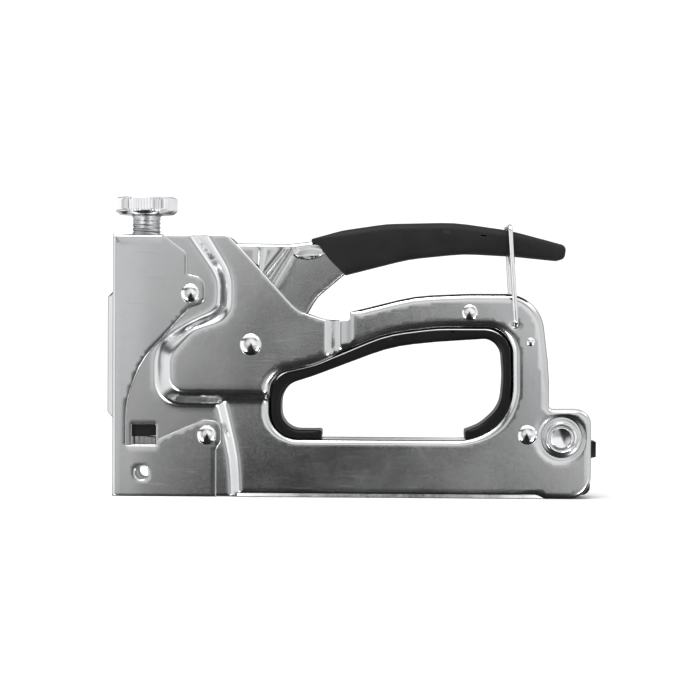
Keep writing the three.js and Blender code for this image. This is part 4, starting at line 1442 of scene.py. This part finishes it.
# %% World
def studio_world():
    """Borders are cosines of the direction: x to the right, y away from the camera, z up."""
    world = bpy.data.worlds.new("studio")
    scene.world = world
    world.use_nodes = True
    tree = world.node_tree
    tree.nodes.clear()
    calc = calculator(tree)

    def soft(value, low, high, to_low, to_high):
        """to_low up to low, to_high from high on, and a smooth change between them."""
        made = node(tree, "ShaderNodeMapRange", {"Value": value}, interpolation_type="SMOOTHSTEP")
        for key, number in zip(RANGE_SOCKETS, (low, high, to_low, to_high)):
            made.inputs[key].default_value = number
        return made.outputs["Result"]

    def product(*factors):
        return reduce(lambda a, b: calc("MULTIPLY", a, b), factors)

    def total_of(*terms):
        return reduce(lambda a, b: calc("ADD", a, b), terms)

    direction = node(tree, "ShaderNodeTexCoord").outputs["Generated"]
    x, y, z = node(tree, "ShaderNodeSeparateXYZ", {0: direction}).outputs
    ahead, aside = calc("ABSOLUTE", y), calc("ABSOLUTE", x)

    def leaning(slope):
        """x, shifted in proportion to z, so that a border in the surroundings leans."""
        return calc("MULTIPLY_ADD", z, slope, x)

    top = product(soft(z, 0.46, 0.68, 0.0, 1.1), soft(y, 0.25, 0.7, 1.0, 0.12))
    halves = total_of(soft(leaning(-0.6), -0.03, -0.125, 0.0, 0.85),
                      soft(leaning(0.4), 0.015, 0.09, 0.0, 1.1))
    front = product(soft(ahead, 0.78, 0.96, 0.10, 1.0), calc("MINIMUM", halves, 1.1),
                    soft(z, -0.16, -0.02, 0.4, 1.0))
    left = product(soft(x, -0.45, -0.72, 0.0, 1.1), soft(z, -0.72, -0.5, 0.0, 1.0),
                   soft(z, 0.26, 0.40, 1.0, 0.05), soft(y, 0.3, 0.6, 1.0, 0.1))
    right = product(soft(x, 0.35, 0.65, 0.0, 0.8), soft(z, -0.45, -0.25, 0.0, 1.0),
                    soft(y, 0.3, 0.6, 1.0, 0.3))
    haze = product(soft(aside, 0.22, 0.4, 0.0, 0.45), soft(z, -0.10, -0.2, 0.0, 1.0),
                   soft(z, -0.55, -0.4, 0.0, 1.0), soft(ahead, 0.35, 0.6, 0.0, 1.0))
    surrounding = total_of(top, front, left, right, haze, 0.015)
    shiny = node(tree, "ShaderNodeBackground", {"Color": surrounding, "Strength": 1.0})
    matt = node(tree, "ShaderNodeBackground", {"Color": (1, 1, 1, 1), "Strength": 0.85})
    glossy = node(tree, "ShaderNodeLightPath").outputs["Is Glossy Ray"]
    mixed = node(tree, "ShaderNodeMixShader", {0: glossy, 1: matt.outputs[0], 2: shiny.outputs[0]})
    node(tree, "ShaderNodeOutputWorld", {"Surface": mixed.outputs[0]})


studio_world()


# %% Softboxes
LIT = Vector((0, 0, 50)) * MM               # what every softbox points at


def softbox(name, place, size, watts):
    """A rectangular area light that the camera doesn't see."""
    light = bpy.data.lights.new(name, "AREA")
    light.shape, light.energy = "RECTANGLE", watts
    light.size, light.size_y = size[0] * MM, size[1] * MM
    lamp = bpy.data.objects.new(name, light)
    scene.collection.objects.link(lamp)
    lamp.location = Vector(place) * MM
    lamp.rotation_euler = (LIT - lamp.location).to_track_quat("-Z", "Y").to_euler()
    lamp.visible_camera = False


softbox("top_softbox", (-120, -260, 850), (800, 360), 6.0)
softbox("low_left_softbox", (-440, -520, -360), (200, 200), 1.6)
softbox("low_right_softbox", (440, -520, -360), (200, 200), 1.6)
scene.view_settings.view_transform = "Standard"
print("lamps:", ", ".join(lamp.name for lamp in bpy.data.lights))
